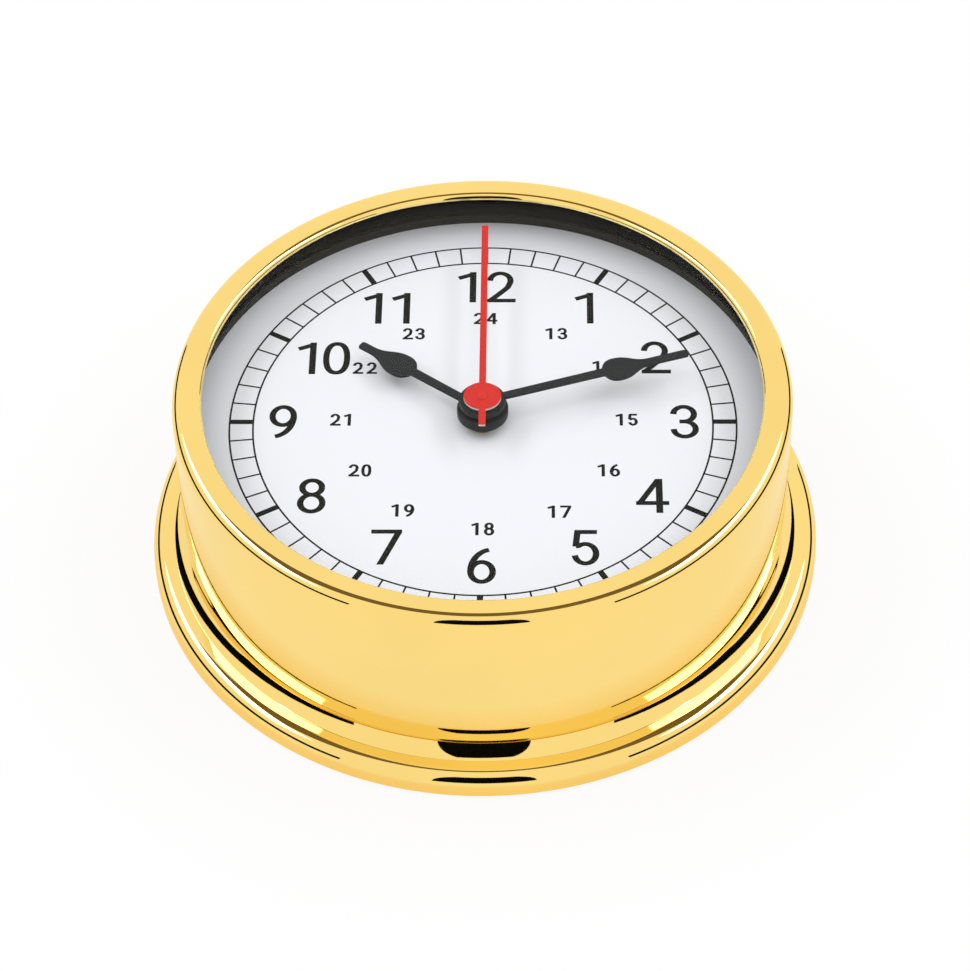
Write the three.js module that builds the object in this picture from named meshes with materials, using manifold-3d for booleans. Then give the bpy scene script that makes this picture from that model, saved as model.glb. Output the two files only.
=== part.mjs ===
// A small round marine clock: a polished brass drum on a turned base ring, flat glass, a white dial,
// spade hands and a quartz movement with its whole gear train.
// Millimetres. +Z points out of the dial and +Y to twelve o'clock.
// The origin is the centre of the base ring's back face.

import * as THREE from "three";
import { mergeVertices } from "three/addons/utils/BufferGeometryUtils.js";
import Module from "manifold-3d";

const wasm = await Module();
wasm.setup();

// Clearances
const SEAT_GAP = 0.05; // between flat faces that rest on each other
const TURNED_GAP = 0.2; // round a turned piece inside another
const RUNNING_GAP = 0.1; // round a shaft in its bore
const FACET_ROOM = 0.06; // what a bore's facets take off its radius
const BEARING_GAP = 0.3; // between a boss and the wheel or pinion that turns on it
const PIVOT_END_GAP = 0.2; // at the ends of an arbor
const CUT_THROUGH = 1; // how far a cutting tool stands out of what it cuts

// Facets
const RING_SEGMENTS = 48; // case rings
const HUB_SEGMENTS = 16; // bosses and pipes
const PIN_SEGMENTS = 10; // arbors and bores

// Drum with its rolled front edge
const CASE_DEPTH = 38.9; // back face of the base to the front face
const DRUM_RADIUS = 54;
const DRUM_WALL = 1.2;
const OPENING_RADIUS = 48.8;
const LIP_THICKNESS = 1.1;
const FRONT_ROUND = 1.8;
const OPENING_ROUND = 0.9;

// Base ring
const BASE_RADIUS = 60;
const BASE_FLOOR_RADIUS = 42; // opening in its floor
const BASE_FLOOR_THICKNESS = 2;
const RIM_HEIGHT = 4.9;
const RIM_ROUND = 2.1;
const RIM_FOOT_CHAMFER = 0.5;
const COVE_CENTRE_RADIUS = 56.95; // lowest place of the hollow inside the rim
const COVE_BOTTOM = 4.75;
const COVE_ROUND = 1.9;
const COVE_ANGLE = THREE.MathUtils.degToRad(48); // slope from the hollow up to the drum
const UNDERCUT_INNER_RADIUS = 52.5;
const UNDERCUT_OUTER_RADIUS = 57.6;
const UNDERCUT_DEPTH = 1.8;
const SCREW_COUNT = 3;
const SCREW_HOLE_RADIUS = 2.1;
const SCREW_CIRCLE_RADIUS = 46;

// Bayonet between drum and base
const COLLAR_WALL = 1.8;
const COLLAR_TOP = 11.4;
const LUG_COUNT = 3;
const LUG_HEIGHT = 1.8;
const LUG_LENGTH = 3.6; // along the wall
const LUG_DEPTH = 1.7;
const LUG_CLEARANCE = 0.25;
const TRACK_BOTTOM = 7.6;
const UNLOCK_ANGLE = THREE.MathUtils.degToRad(25);
const FIRST_LUG_ANGLE = THREE.MathUtils.degToRad(30);

// Glass, seal, spacer, dial and spring ring
const GASKET_THICKNESS = 0.3;
const GASKET_WIDTH = 3.3;
const GLASS_THICKNESS = 1;
const SPACER_WALL = 0.8;
const SPACER_FOOT_WIDTH = 1.3;
const SPACER_FOOT_THICKNESS = 1.8;
const DIAL_DEPTH = 9.4; // front face down to the dial
const DIAL_THICKNESS = 0.8;
const RETAINER_THICKNESS = 1;
const RETAINER_WIDTH = 2.1;
const RETAINER_GAP_ANGLE = THREE.MathUtils.degToRad(16);
const GROOVE_DEPTH = 0.4;

// Movement case
const MOVEMENT_SIDE = 56;
const MOVEMENT_THICKNESS = 16;
const MOVEMENT_WALL = 1.2;
const MOVEMENT_CORNER = 2;
const SPLIT_HEIGHT = 8; // from the movement's back to the joint between its halves
const PAD_SIDE = 50;
const PAD_THICKNESS = 0.8;
const PAD_HOLE_RADIUS = 6;

// Gear train: one level per wheel, counted from the front
const WHEEL_THICKNESS = 0.8;
const LEVEL_PITCH = 2;
const FRONT_ROOM = 0.4; // hour wheel to the front wall
const PINION_OVERHANG = 0.3;
const ARBOR_RADIUS = 0.5;
const BOSS_RADIUS = 1.5;
const BORE_DEPTH = 1.2;
const TRANSFER_STUD_RADIUS = 0.75;
const WHEEL_TOOTH = { addendum: 0.75, dedendum: 1.15, rootShare: 0.3, tipShare: 0.12 };
const PINION_TOOTH = { addendum: 0.6, dedendum: 1.15, rootShare: 0.24, tipShare: 0.13 };

const HOUR_WHEEL_TEETH = 32;
const TRANSFER_PINION_TEETH = 8;
const TRANSFER_WHEEL_TEETH = 24;
const CANNON_TEETH = 8;
const SETTING_TEETH = 8;
const CENTRE_WHEEL_TEETH = 48;
const THIRD_PINION_TEETH = 6;
const THIRD_WHEEL_TEETH = 45;
const SECONDS_PINION_TEETH = 6;
const SECONDS_WHEEL_TEETH = 36;
const INTERMEDIATE_PINION_TEETH = 6;
const INTERMEDIATE_WHEEL_TEETH = 30;
const ROTOR_PINION_TEETH = 6;

const CANNON_MODULE = 0.52;
const THIRD_MODULE = 0.4; // third wheel and seconds pinion
const INTERMEDIATE_MODULE = 0.34;
const ROTOR_MODULE = 0.33;

const TRANSFER_DIRECTION = THREE.MathUtils.degToRad(-15);
const SETTING_DIRECTION = THREE.MathUtils.degToRad(-18); // from the transfer wheel
const THIRD_DIRECTION = THREE.MathUtils.degToRad(150);
const INTERMEDIATE_DIRECTION = THREE.MathUtils.degToRad(45);
const ROTOR_DIRECTION = THREE.MathUtils.degToRad(20); // from the intermediate wheel

// Coaxial pipes
const BUSH_RADIUS = 2.6;
const BUSH_FLANGE_RADIUS = 4.2;
const HOUR_PIPE_RADIUS = 2.05;
const MINUTE_PIPE_RADIUS = 1.4;
const PIPE_WALL = 0.45;

// Stepping motor
const MAGNET_RADIUS = 3;
const MAGNET_HEIGHT = 3.2;
const STATOR_THICKNESS = 0.8;
const STATOR_AIR_GAP = 0.5;
const STATOR_RING_WIDTH = 2.6;
const STATOR_ARM_RADIUS = 2.1;
const STATOR_ARM_START = 0.2; // share of the way from the arm's line to the rotor's axis
const COIL_SPAN = 13.6; // between the two screws of the core
const COIL_DISTANCE = 13.5; // from the rotor's axis to the coil's axis
const COIL_RADIUS = 3.6;
const BOBBIN_FLANGE_RADIUS = 3.8;
const BOBBIN_FLANGE_THICKNESS = 0.7;
const BOBBIN_BARREL_RADIUS = 2.3;
const BOBBIN_LENGTH = 8;
const CORE_HALF_WIDTH = 1.6;
const MOTOR_SCREW_RADIUS = 0.7;
const MOTOR_SCREW_HEAD_RADIUS = 1.3;
const MOTOR_SCREW_HEAD_HEIGHT = 0.8;
const MOTOR_SCREW_LENGTH = 4;

// Bridge, circuit board and their posts
const BRIDGE_THICKNESS = 0.8;
const BRIDGE_HALF_WIDTH = 1.9;
const BRIDGE_POST_LEFT = new THREE.Vector2(1.5, 13);
const BRIDGE_POST_RIGHT = new THREE.Vector2(20, 3);
const BOARD_THICKNESS = 0.8;
const BOARD_DEPTH = 10.5; // along Y
const BOARD_DROP = 1.6; // below the front wall
const BOARD_POST_SPREAD = 40;
const CHIP_RADIUS = 2.6;
const CHIP_HEIGHT = 0.9;
const CRYSTAL_RADIUS = 1;
const CRYSTAL_LENGTH = 6.2;
const BOARD_PART_SPREAD = 7; // chip and crystal, either side of their middle
const BOARD_PART_CENTRE = -11;

// Battery, its bay and its contacts
const BATTERY_RADIUS = 7.25;
const BATTERY_LENGTH = 50.5;
const BATTERY_NUB_RADIUS = 2.7;
const BATTERY_NUB_LENGTH = 1.3;
const BATTERY_EDGE = 0.8;
const BAY_CLEARANCE = 0.15;
const DIVIDER_WALL = 1;
const CONTACT_THICKNESS = 0.4;
const CONTACT_WIDTH = 8;
const CONTACT_TAIL = 2.6; // height of the tail's upright
const CONTACT_TAB = 2.6; // tab under the board, along and across
const CONTACT_BUTTON_RADIUS = 2.7;
const CONTACT_REACH = 0.9; // how far the button stands out to the battery

// Setting knob
const KNOB_RADIUS = 3.8;
const KNOB_HEIGHT = 2.2;
const KNOB_FLUTES = 14;
const KNOB_FLUTE_DEPTH = 0.3;
const KNOB_ROOM = 0.5;
const SETTING_SHAFT_RADIUS = 0.8;

// Hands: heights are above the dial
const HOUR_HAND = {
  length: 27.7,
  stem: 1.6,
  bulb: 5.3,
  bulbStart: 15.2,
  bulbWidest: 18.2,
  neck: 24.6,
  bossRadius: 4.5,
  bossBottom: 2,
  bossTop: 3.8,
  bladeTop: 3.5,
};
const MINUTE_HAND = {
  length: 38.7,
  stem: 1.6,
  bulb: 5.3,
  bulbStart: 22.3,
  bulbWidest: 25,
  neck: 32.5,
  bossRadius: 4.05,
  bossBottom: 4.6,
  bossTop: 5.8,
  bladeTop: 5.5,
};
const BLADE_THICKNESS = 0.4;
const BOSS_CHAMFER = 0.25;
const SECOND_HAND_LENGTH = 43.6;
const SECOND_HAND_TAIL = 7;
const SECOND_HAND_WIDTH = 1.3;
const SECOND_DISC_RADIUS = 3.3;
const SECOND_DISC_TOP = 6.55;
const RIVET_RADIUS = 0.95;
const RIVET_NECK_RADIUS = 0.5;
const RIVET_DOME = 0.25;
const SHOULDER_SHARE = 0.25; // of the way from a blade's bulb start to its widest place
const FLARE_SHARE = 0.45; // of the way from there to the neck
const TIP_CORNER_SHARE = 1 / 3; // of half the stem
const HOUR_HAND_ANGLE = THREE.MathUtils.degToRad(306); // clockwise from twelve
const MINUTE_HAND_ANGLE = THREE.MathUtils.degToRad(72);

// Sizes that follow from those above
const DIAL_TOP = CASE_DEPTH - DIAL_DEPTH;
const DRUM_BORE = DRUM_RADIUS - DRUM_WALL;
const COVE_END = new THREE.Vector2(
  COVE_CENTRE_RADIUS - COVE_ROUND * Math.sin(COVE_ANGLE),
  COVE_BOTTOM + COVE_ROUND * (1 - Math.cos(COVE_ANGLE)),
);
const SEAM_HEIGHT = COVE_END.y + (COVE_END.x - DRUM_RADIUS) * Math.tan(COVE_ANGLE);
const DRUM_BOTTOM = SEAM_HEIGHT + SEAT_GAP;
const COLLAR_RADIUS = DRUM_BORE - TURNED_GAP;
const STACK_RADIUS = DRUM_BORE - TURNED_GAP; // glass, seal, spacer and dial
const GASKET_TOP = CASE_DEPTH - LIP_THICKNESS - SEAT_GAP;
const GLASS_TOP = GASKET_TOP - GASKET_THICKNESS - SEAT_GAP;
const SPACER_TOP = GLASS_TOP - GLASS_THICKNESS - SEAT_GAP;
const DIAL_BOTTOM = DIAL_TOP - DIAL_THICKNESS;
const RETAINER_TOP = DIAL_BOTTOM - SEAT_GAP;
const PAD_TOP = DIAL_BOTTOM - SEAT_GAP;
const MOVEMENT_FRONT = PAD_TOP - PAD_THICKNESS - SEAT_GAP;
const MOVEMENT_BACK = MOVEMENT_FRONT - MOVEMENT_THICKNESS;
const FRONT_WALL = MOVEMENT_FRONT - MOVEMENT_WALL; // inner faces of the movement case
const REAR_WALL = MOVEMENT_BACK + MOVEMENT_WALL;
const SPLIT = MOVEMENT_BACK + SPLIT_HEIGHT;
const INNER_SIDE = MOVEMENT_SIDE / 2 - MOVEMENT_WALL; // half the width inside the movement case
const INNER_CORNER = MOVEMENT_CORNER - MOVEMENT_WALL;
const BORE_RADIUS = ARBOR_RADIUS + RUNNING_GAP;

// The wheels' levels, from the front
const LEVELS = ["hour", "transfer", "centre", "third", "seconds", "intermediate"];
const levelBottom = (level) =>
  FRONT_WALL - FRONT_ROOM - WHEEL_THICKNESS - LEVELS.indexOf(level) * LEVEL_PITCH;
const levelTop = (level) => levelBottom(level) + WHEEL_THICKNESS;

// Centre distances and the modules that share them
const centreDistance = (module, teeth, otherTeeth) => (module * (teeth + otherTeeth)) / 2;
const sharedModule = (distance, teeth, otherTeeth) => (2 * distance) / (teeth + otherTeeth);
const TRANSFER_DISTANCE = centreDistance(CANNON_MODULE, CANNON_TEETH, TRANSFER_WHEEL_TEETH);
const SETTING_DISTANCE = centreDistance(CANNON_MODULE, SETTING_TEETH, TRANSFER_WHEEL_TEETH);
const HOUR_MODULE = sharedModule(TRANSFER_DISTANCE, TRANSFER_PINION_TEETH, HOUR_WHEEL_TEETH);
const THIRD_DISTANCE = centreDistance(THIRD_MODULE, THIRD_WHEEL_TEETH, SECONDS_PINION_TEETH);
const CENTRE_MODULE = sharedModule(THIRD_DISTANCE, CENTRE_WHEEL_TEETH, THIRD_PINION_TEETH);
const INTERMEDIATE_DISTANCE = centreDistance(
  INTERMEDIATE_MODULE,
  SECONDS_WHEEL_TEETH,
  INTERMEDIATE_PINION_TEETH,
);
const ROTOR_DISTANCE = centreDistance(ROTOR_MODULE, INTERMEDIATE_WHEEL_TEETH, ROTOR_PINION_TEETH);

const polar = (radius, angle) => new THREE.Vector2(radius * Math.cos(angle), radius * Math.sin(angle));
const CENTRE = new THREE.Vector2(0, 0);
const TRANSFER_AXIS = polar(TRANSFER_DISTANCE, TRANSFER_DIRECTION);
const SETTING_AXIS = TRANSFER_AXIS.clone().add(polar(SETTING_DISTANCE, SETTING_DIRECTION));
const THIRD_AXIS = polar(THIRD_DISTANCE, THIRD_DIRECTION);
const INTERMEDIATE_AXIS = polar(INTERMEDIATE_DISTANCE, INTERMEDIATE_DIRECTION);
const ROTOR_AXIS = INTERMEDIATE_AXIS.clone().add(polar(ROTOR_DISTANCE, ROTOR_DIRECTION));

// Bayonet
const lugAngle = (index) => FIRST_LUG_ANGLE + (index * 2 * Math.PI) / LUG_COUNT;
const LUG_HALF_ANGLE = LUG_LENGTH / 2 / DRUM_BORE;
const SLOT_HALF_ANGLE = (LUG_LENGTH / 2 + LUG_CLEARANCE) / (COLLAR_RADIUS - COLLAR_WALL);

// Ends of bosses, pinions and arbors
const THIRD_BOSS_END = levelTop("centre") + PINION_OVERHANG + BEARING_GAP;
const SETTING_BOSS_END = levelTop("transfer") + PINION_OVERHANG + BEARING_GAP;
const CANNON_FOOT = levelBottom("centre") - PINION_OVERHANG;
const CANNON_PINION_BOTTOM = levelBottom("transfer") - PINION_OVERHANG;
const ROTOR_PINION_BOTTOM = levelBottom("intermediate") - PINION_OVERHANG;
const ROTOR_PINION_TOP = levelTop("intermediate") + PINION_OVERHANG;
const SECOND_ARBOR_TOP = DIAL_TOP + SECOND_DISC_TOP - BLADE_THICKNESS - SEAT_GAP;

// Bridge and circuit board
const BRIDGE_BOTTOM = levelTop("third") + (LEVEL_PITCH - WHEEL_THICKNESS - BRIDGE_THICKNESS) / 2;
const BRIDGE_TOP = BRIDGE_BOTTOM + BRIDGE_THICKNESS;
const BOARD_TOP = FRONT_WALL - BOARD_DROP;
const BOARD_BOTTOM = BOARD_TOP - BOARD_THICKNESS;
const BOARD_BACK = INNER_SIDE - TURNED_GAP;
const BOARD_FRONT = BOARD_BACK - BOARD_DEPTH;
const BOARD_MIDDLE = (BOARD_FRONT + BOARD_BACK) / 2;

// Battery bay, at the six o'clock side of the movement
const BATTERY_Y = -INNER_SIDE + BAY_CLEARANCE + BATTERY_RADIUS;
const BATTERY_Z = MOVEMENT_BACK + BAY_CLEARANCE + BATTERY_RADIUS;
const BAY_TOP_Y = BATTERY_Y + BATTERY_RADIUS + BAY_CLEARANCE;
const CONTACT_OUTER = INNER_SIDE - TURNED_GAP;
const CONTACT_INNER = CONTACT_OUTER - CONTACT_THICKNESS;
const BETWEEN_CONTACTS = CONTACT_INNER - TURNED_GAP; // half the length of what lies between them

// Setting knob in its recess
const KNOB_BOTTOM = MOVEMENT_BACK + SEAT_GAP;
const KNOB_TOP = KNOB_BOTTOM + KNOB_HEIGHT;
const RECESS_RADIUS = KNOB_RADIUS + KNOB_ROOM;
const RECESS_TOP = KNOB_TOP + BEARING_GAP;

// Stator, core and their screws
const STATOR_BOTTOM = levelTop("seconds") + PINION_OVERHANG + TURNED_GAP;
const STATOR_TOP = STATOR_BOTTOM + STATOR_THICKNESS;
const CORE_BOTTOM = STATOR_TOP + SEAT_GAP;
const CORE_TOP = CORE_BOTTOM + STATOR_THICKNESS;
const COIL_Y = ROTOR_AXIS.y + COIL_DISTANCE;
const MOTOR_SCREW_END = CORE_TOP + SEAT_GAP - MOTOR_SCREW_LENGTH;
const MOTOR_SCREW_HOLE = MOTOR_SCREW_RADIUS + RUNNING_GAP;

// A pair of axes either side of x on a line across the movement
const pairOfAxes = (x, spread, y) => [-1, 1].map((side) => new THREE.Vector2(x + (side * spread) / 2, y));
const BOARD_POSTS = pairOfAxes(0, BOARD_POST_SPREAD, BOARD_MIDDLE);
const MOTOR_SCREWS = pairOfAxes(ROTOR_AXIS.x, COIL_SPAN, COIL_Y);

// Materials
const finish = (color, roughness, metalness, opacity = 1) =>
  new THREE.MeshStandardMaterial({
    color,
    roughness,
    metalness,
    opacity,
    transparent: opacity < 1,
  });
const polishedBrass = () => finish(0xe8bd4e, 0.08, 1);
const plainBrass = () => finish(0xcaa24c, 0.35, 1);
const steel = () => finish(0xb4b7ba, 0.3, 1);
const blackPlastic = () => finish(0x16171a, 0.45, 0);
const greyPlastic = () => finish(0x33373b, 0.55, 0);
const whiteNylon = () => finish(0xe9e6dc, 0.5, 0);
const handPaint = () => finish(0x3a3e40, 0.5, 0);
const redPaint = () => finish(0xdf3531, 0.4, 0);

// Solids and geometries
function toSolid(geometry) {
  const bare = geometry.clone();
  bare.deleteAttribute("normal");
  bare.deleteAttribute("uv");
  const merged = mergeVertices(bare);
  return new wasm.Manifold(
    new wasm.Mesh({
      numProp: 3,
      vertProperties: merged.attributes.position.array,
      triVerts: new Uint32Array(merged.index.array),
    }),
  );
}

function toGeometry(solid) {
  const { vertProperties, triVerts } = solid.getMesh();
  const geometry = new THREE.BufferGeometry();
  geometry.setAttribute("position", new THREE.BufferAttribute(vertProperties, 3));
  geometry.setIndex(new THREE.BufferAttribute(triVerts, 1));
  geometry.computeVertexNormals();
  return geometry;
}

const joined = (...solids) => solids.reduce((whole, solid) => whole.add(solid));
const cut = (solid, ...tools) => tools.reduce((rest, tool) => rest.subtract(tool), solid);

// A profile of (radius, height) points, turned about +Z
function turned(profile, segments = RING_SEGMENTS) {
  return new THREE.LatheGeometry(profile, segments).rotateX(Math.PI / 2);
}

// A closed profile, walked with the material on the left, for a ring that the axis doesn't touch
function ring(innerRadius, outerRadius, bottom, top, segments = RING_SEGMENTS) {
  const corners = [
    [innerRadius, bottom],
    [outerRadius, bottom],
    [outerRadius, top],
    [innerRadius, top],
    [innerRadius, bottom],
  ];
  return turned(
    corners.map(([radius, height]) => new THREE.Vector2(radius, height)),
    segments,
  );
}

function disc(radius, bottom, top, segments = RING_SEGMENTS) {
  const corners = [
    [0, bottom],
    [radius, bottom],
    [radius, top],
    [0, top],
  ];
  return turned(
    corners.map(([r, height]) => new THREE.Vector2(r, height)),
    segments,
  );
}

const rod = (axis, radius, bottom, top, segments = PIN_SEGMENTS) =>
  disc(radius, bottom, top, segments).translate(axis.x, axis.y, 0);

const rodSolid = (...sizes) => toSolid(rod(...sizes));

// A rod that cuts right through what lies between bottom and top
const drill = (axis, radius, bottom, top, segments) =>
  rodSolid(axis, radius, bottom - CUT_THROUGH, top + CUT_THROUGH, segments);

function prism(shape, bottom, top, curveSegments = PIN_SEGMENTS) {
  const options = { depth: top - bottom, bevelEnabled: false, curveSegments };
  return new THREE.ExtrudeGeometry(shape, options).translate(0, 0, bottom);
}

function block(left, right, front, back, bottom, top) {
  const geometry = new THREE.BoxGeometry(right - left, back - front, top - bottom);
  return geometry.translate((left + right) / 2, (front + back) / 2, (bottom + top) / 2);
}

// Points of an arc about (x, y), both ends included
function arc(x, y, radiusX, radiusY, start, end, steps) {
  return Array.from({ length: steps + 1 }, (_, step) => {
    const angle = start + ((end - start) * step) / steps;
    return new THREE.Vector2(x + radiusX * Math.cos(angle), y + radiusY * Math.sin(angle));
  });
}

// A stretch of a ring wall, centred on an angle
function wallSegment(innerRadius, outerRadius, startAngle, endAngle, bottom, top) {
  const steps = Math.max(1, Math.round((endAngle - startAngle) / (Math.PI / 24)));
  const outer = arc(0, 0, outerRadius, outerRadius, startAngle, endAngle, steps);
  const inner = arc(0, 0, innerRadius, innerRadius, endAngle, startAngle, steps);
  return prism(new THREE.Shape([...outer, ...inner]), bottom, top);
}

// A bar with round ends between two points
function barShape(from, to, radius) {
  const along = Math.atan2(to.y - from.y, to.x - from.x);
  const quarter = Math.PI / 2;
  const far = arc(to.x, to.y, radius, radius, along - quarter, along + quarter, 4);
  const near = arc(from.x, from.y, radius, radius, along + quarter, along + 3 * quarter, 4);
  return new THREE.Shape([...far, ...near]);
}

function roundedSquare(side, corner) {
  const reach = side / 2 - corner;
  const centres = [
    [reach, -reach, -Math.PI / 2],
    [reach, reach, 0],
    [-reach, reach, Math.PI / 2],
    [-reach, -reach, Math.PI],
  ];
  return new THREE.Shape(
    centres.flatMap(([x, y, start]) => arc(x, y, corner, corner, start, start + Math.PI / 2, 3)),
  );
}

const roundedSlab = (side, corner, bottom, top) =>
  toSolid(prism(roundedSquare(side, corner), bottom, top));

// Gears
function gearOutline(teeth, module, tooth, turn) {
  const pitchAngle = (2 * Math.PI) / teeth;
  const pitchRadius = (module * teeth) / 2;
  const root = pitchRadius - tooth.dedendum * module;
  const tip = pitchRadius + tooth.addendum * module;
  const corners = [
    [root, -tooth.rootShare],
    [tip, -tooth.tipShare],
    [tip, tooth.tipShare],
    [root, tooth.rootShare],
  ];
  const points = [];
  for (let index = 0; index < teeth; index += 1) {
    for (const [radius, share] of corners) {
      points.push(polar(radius, turn + (index + share) * pitchAngle));
    }
  }
  return new THREE.Shape(points);
}

const gear = (teeth, module, tooth, turn, axis, bottom, top) =>
  toSolid(prism(gearOutline(teeth, module, tooth, turn), bottom, top).translate(axis.x, axis.y, 0));

// The turn that meshes a gear with one whose turn is known, seen from the known gear's axis
function meshedTurn(knownTurn, knownTeeth, direction, teeth) {
  const knownPitch = (2 * Math.PI) / knownTeeth;
  const pitch = (2 * Math.PI) / teeth;
  const share = (direction - knownTurn) / knownPitch;
  return direction + Math.PI - pitch * (0.5 - share);
}

const TRANSFER_TURN = meshedTurn(0, CANNON_TEETH, TRANSFER_DIRECTION, TRANSFER_WHEEL_TEETH);
const SETTING_TURN = meshedTurn(TRANSFER_TURN, TRANSFER_WHEEL_TEETH, SETTING_DIRECTION, SETTING_TEETH);
const HOUR_TURN = meshedTurn(
  TRANSFER_TURN,
  TRANSFER_PINION_TEETH,
  TRANSFER_DIRECTION + Math.PI,
  HOUR_WHEEL_TEETH,
);
const THIRD_TURN = meshedTurn(0, CENTRE_WHEEL_TEETH, THIRD_DIRECTION, THIRD_PINION_TEETH);
const SECONDS_TURN = meshedTurn(
  THIRD_TURN,
  THIRD_WHEEL_TEETH,
  THIRD_DIRECTION + Math.PI,
  SECONDS_PINION_TEETH,
);
const INTERMEDIATE_TURN = meshedTurn(
  SECONDS_TURN,
  SECONDS_WHEEL_TEETH,
  INTERMEDIATE_DIRECTION,
  INTERMEDIATE_PINION_TEETH,
);
const ROTOR_TURN = meshedTurn(
  INTERMEDIATE_TURN,
  INTERMEDIATE_WHEEL_TEETH,
  ROTOR_DIRECTION,
  ROTOR_PINION_TEETH,
);

// Case
function baseFlange() {
  const coveAxis = COVE_BOTTOM + COVE_ROUND;
  const coveStart = -Math.PI / 2;
  const rimCentre = BASE_RADIUS - RIM_ROUND;
  const rimBase = RIM_HEIGHT - RIM_ROUND;
  const profile = [
    new THREE.Vector2(BASE_FLOOR_RADIUS, 0),
    new THREE.Vector2(UNDERCUT_INNER_RADIUS, 0),
    new THREE.Vector2(UNDERCUT_INNER_RADIUS, UNDERCUT_DEPTH),
    new THREE.Vector2(UNDERCUT_OUTER_RADIUS, UNDERCUT_DEPTH),
    new THREE.Vector2(UNDERCUT_OUTER_RADIUS, 0),
    new THREE.Vector2(BASE_RADIUS - RIM_FOOT_CHAMFER, 0),
    new THREE.Vector2(BASE_RADIUS, RIM_FOOT_CHAMFER),
    ...arc(rimCentre, rimBase, RIM_ROUND, RIM_ROUND, 0, Math.PI / 2, 4),
    ...arc(
      COVE_CENTRE_RADIUS,
      coveAxis,
      COVE_ROUND,
      COVE_ROUND,
      coveStart,
      coveStart - COVE_ANGLE,
      3,
    ),
    new THREE.Vector2(DRUM_RADIUS, SEAM_HEIGHT),
    new THREE.Vector2(COLLAR_RADIUS, SEAM_HEIGHT),
    new THREE.Vector2(COLLAR_RADIUS, COLLAR_TOP),
    new THREE.Vector2(COLLAR_RADIUS - COLLAR_WALL, COLLAR_TOP),
    new THREE.Vector2(COLLAR_RADIUS - COLLAR_WALL, BASE_FLOOR_THICKNESS),
    new THREE.Vector2(BASE_FLOOR_RADIUS, BASE_FLOOR_THICKNESS),
    new THREE.Vector2(BASE_FLOOR_RADIUS, 0),
  ];
  return toGeometry(cut(toSolid(turned(profile)), ...bayonetSlots(), ...screwHoles()));
}

// Each slot runs from the locked lug to an entry that opens at the collar's top
function bayonetSlots() {
  const inner = COLLAR_RADIUS - COLLAR_WALL - CUT_THROUGH;
  const outer = COLLAR_RADIUS + CUT_THROUGH;
  const trackTop = TRACK_BOTTOM + LUG_HEIGHT + 2 * LUG_CLEARANCE;
  const slots = [];
  for (let index = 0; index < LUG_COUNT; index += 1) {
    const locked = lugAngle(index) - SLOT_HALF_ANGLE;
    const open = lugAngle(index) + UNLOCK_ANGLE;
    const track = wallSegment(inner, outer, locked, open + SLOT_HALF_ANGLE, TRACK_BOTTOM, trackTop);
    const entry = wallSegment(
      inner,
      outer,
      open - SLOT_HALF_ANGLE,
      open + SLOT_HALF_ANGLE,
      TRACK_BOTTOM,
      COLLAR_TOP + CUT_THROUGH,
    );
    slots.push(toSolid(track), toSolid(entry));
  }
  return slots;
}

function screwHoles() {
  return Array.from({ length: SCREW_COUNT }, (_, index) => {
    const axis = polar(SCREW_CIRCLE_RADIUS, Math.PI / 2 + (index * 2 * Math.PI) / SCREW_COUNT);
    return drill(axis, SCREW_HOLE_RADIUS, 0, BASE_FLOOR_THICKNESS);
  });
}

function caseDrum() {
  const grooveTop = RETAINER_TOP + SEAT_GAP;
  const grooveBottom = RETAINER_TOP - RETAINER_THICKNESS - TURNED_GAP;
  const frontCentre = DRUM_RADIUS - FRONT_ROUND;
  const openingCentre = OPENING_RADIUS + OPENING_ROUND;
  const profile = [
    new THREE.Vector2(DRUM_BORE, DRUM_BOTTOM),
    new THREE.Vector2(DRUM_RADIUS, DRUM_BOTTOM),
    ...arc(frontCentre, CASE_DEPTH - FRONT_ROUND, FRONT_ROUND, FRONT_ROUND, 0, Math.PI / 2, 4),
    ...arc(
      openingCentre,
      CASE_DEPTH - OPENING_ROUND,
      OPENING_ROUND,
      OPENING_ROUND,
      Math.PI / 2,
      Math.PI,
      3,
    ),
    new THREE.Vector2(OPENING_RADIUS, CASE_DEPTH - LIP_THICKNESS),
    new THREE.Vector2(DRUM_BORE, CASE_DEPTH - LIP_THICKNESS),
    new THREE.Vector2(DRUM_BORE, grooveTop),
    new THREE.Vector2(DRUM_BORE + GROOVE_DEPTH, grooveTop),
    new THREE.Vector2(DRUM_BORE + GROOVE_DEPTH, grooveBottom),
    new THREE.Vector2(DRUM_BORE, grooveBottom),
    new THREE.Vector2(DRUM_BORE, DRUM_BOTTOM),
  ];
  const lugBottom = TRACK_BOTTOM + LUG_CLEARANCE;
  const lugs = Array.from({ length: LUG_COUNT }, (_, index) =>
    toSolid(
      wallSegment(
        DRUM_BORE - LUG_DEPTH,
        DRUM_BORE + DRUM_WALL / 2,
        lugAngle(index) - LUG_HALF_ANGLE,
        lugAngle(index) + LUG_HALF_ANGLE,
        lugBottom,
        lugBottom + LUG_HEIGHT,
      ),
    ),
  );
  return toGeometry(joined(toSolid(turned(profile)), ...lugs));
}

const glassGasket = () =>
  ring(STACK_RADIUS - GASKET_WIDTH, STACK_RADIUS, GASKET_TOP - GASKET_THICKNESS, GASKET_TOP);

const glass = () => disc(STACK_RADIUS, GLASS_TOP - GLASS_THICKNESS, GLASS_TOP);

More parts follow.
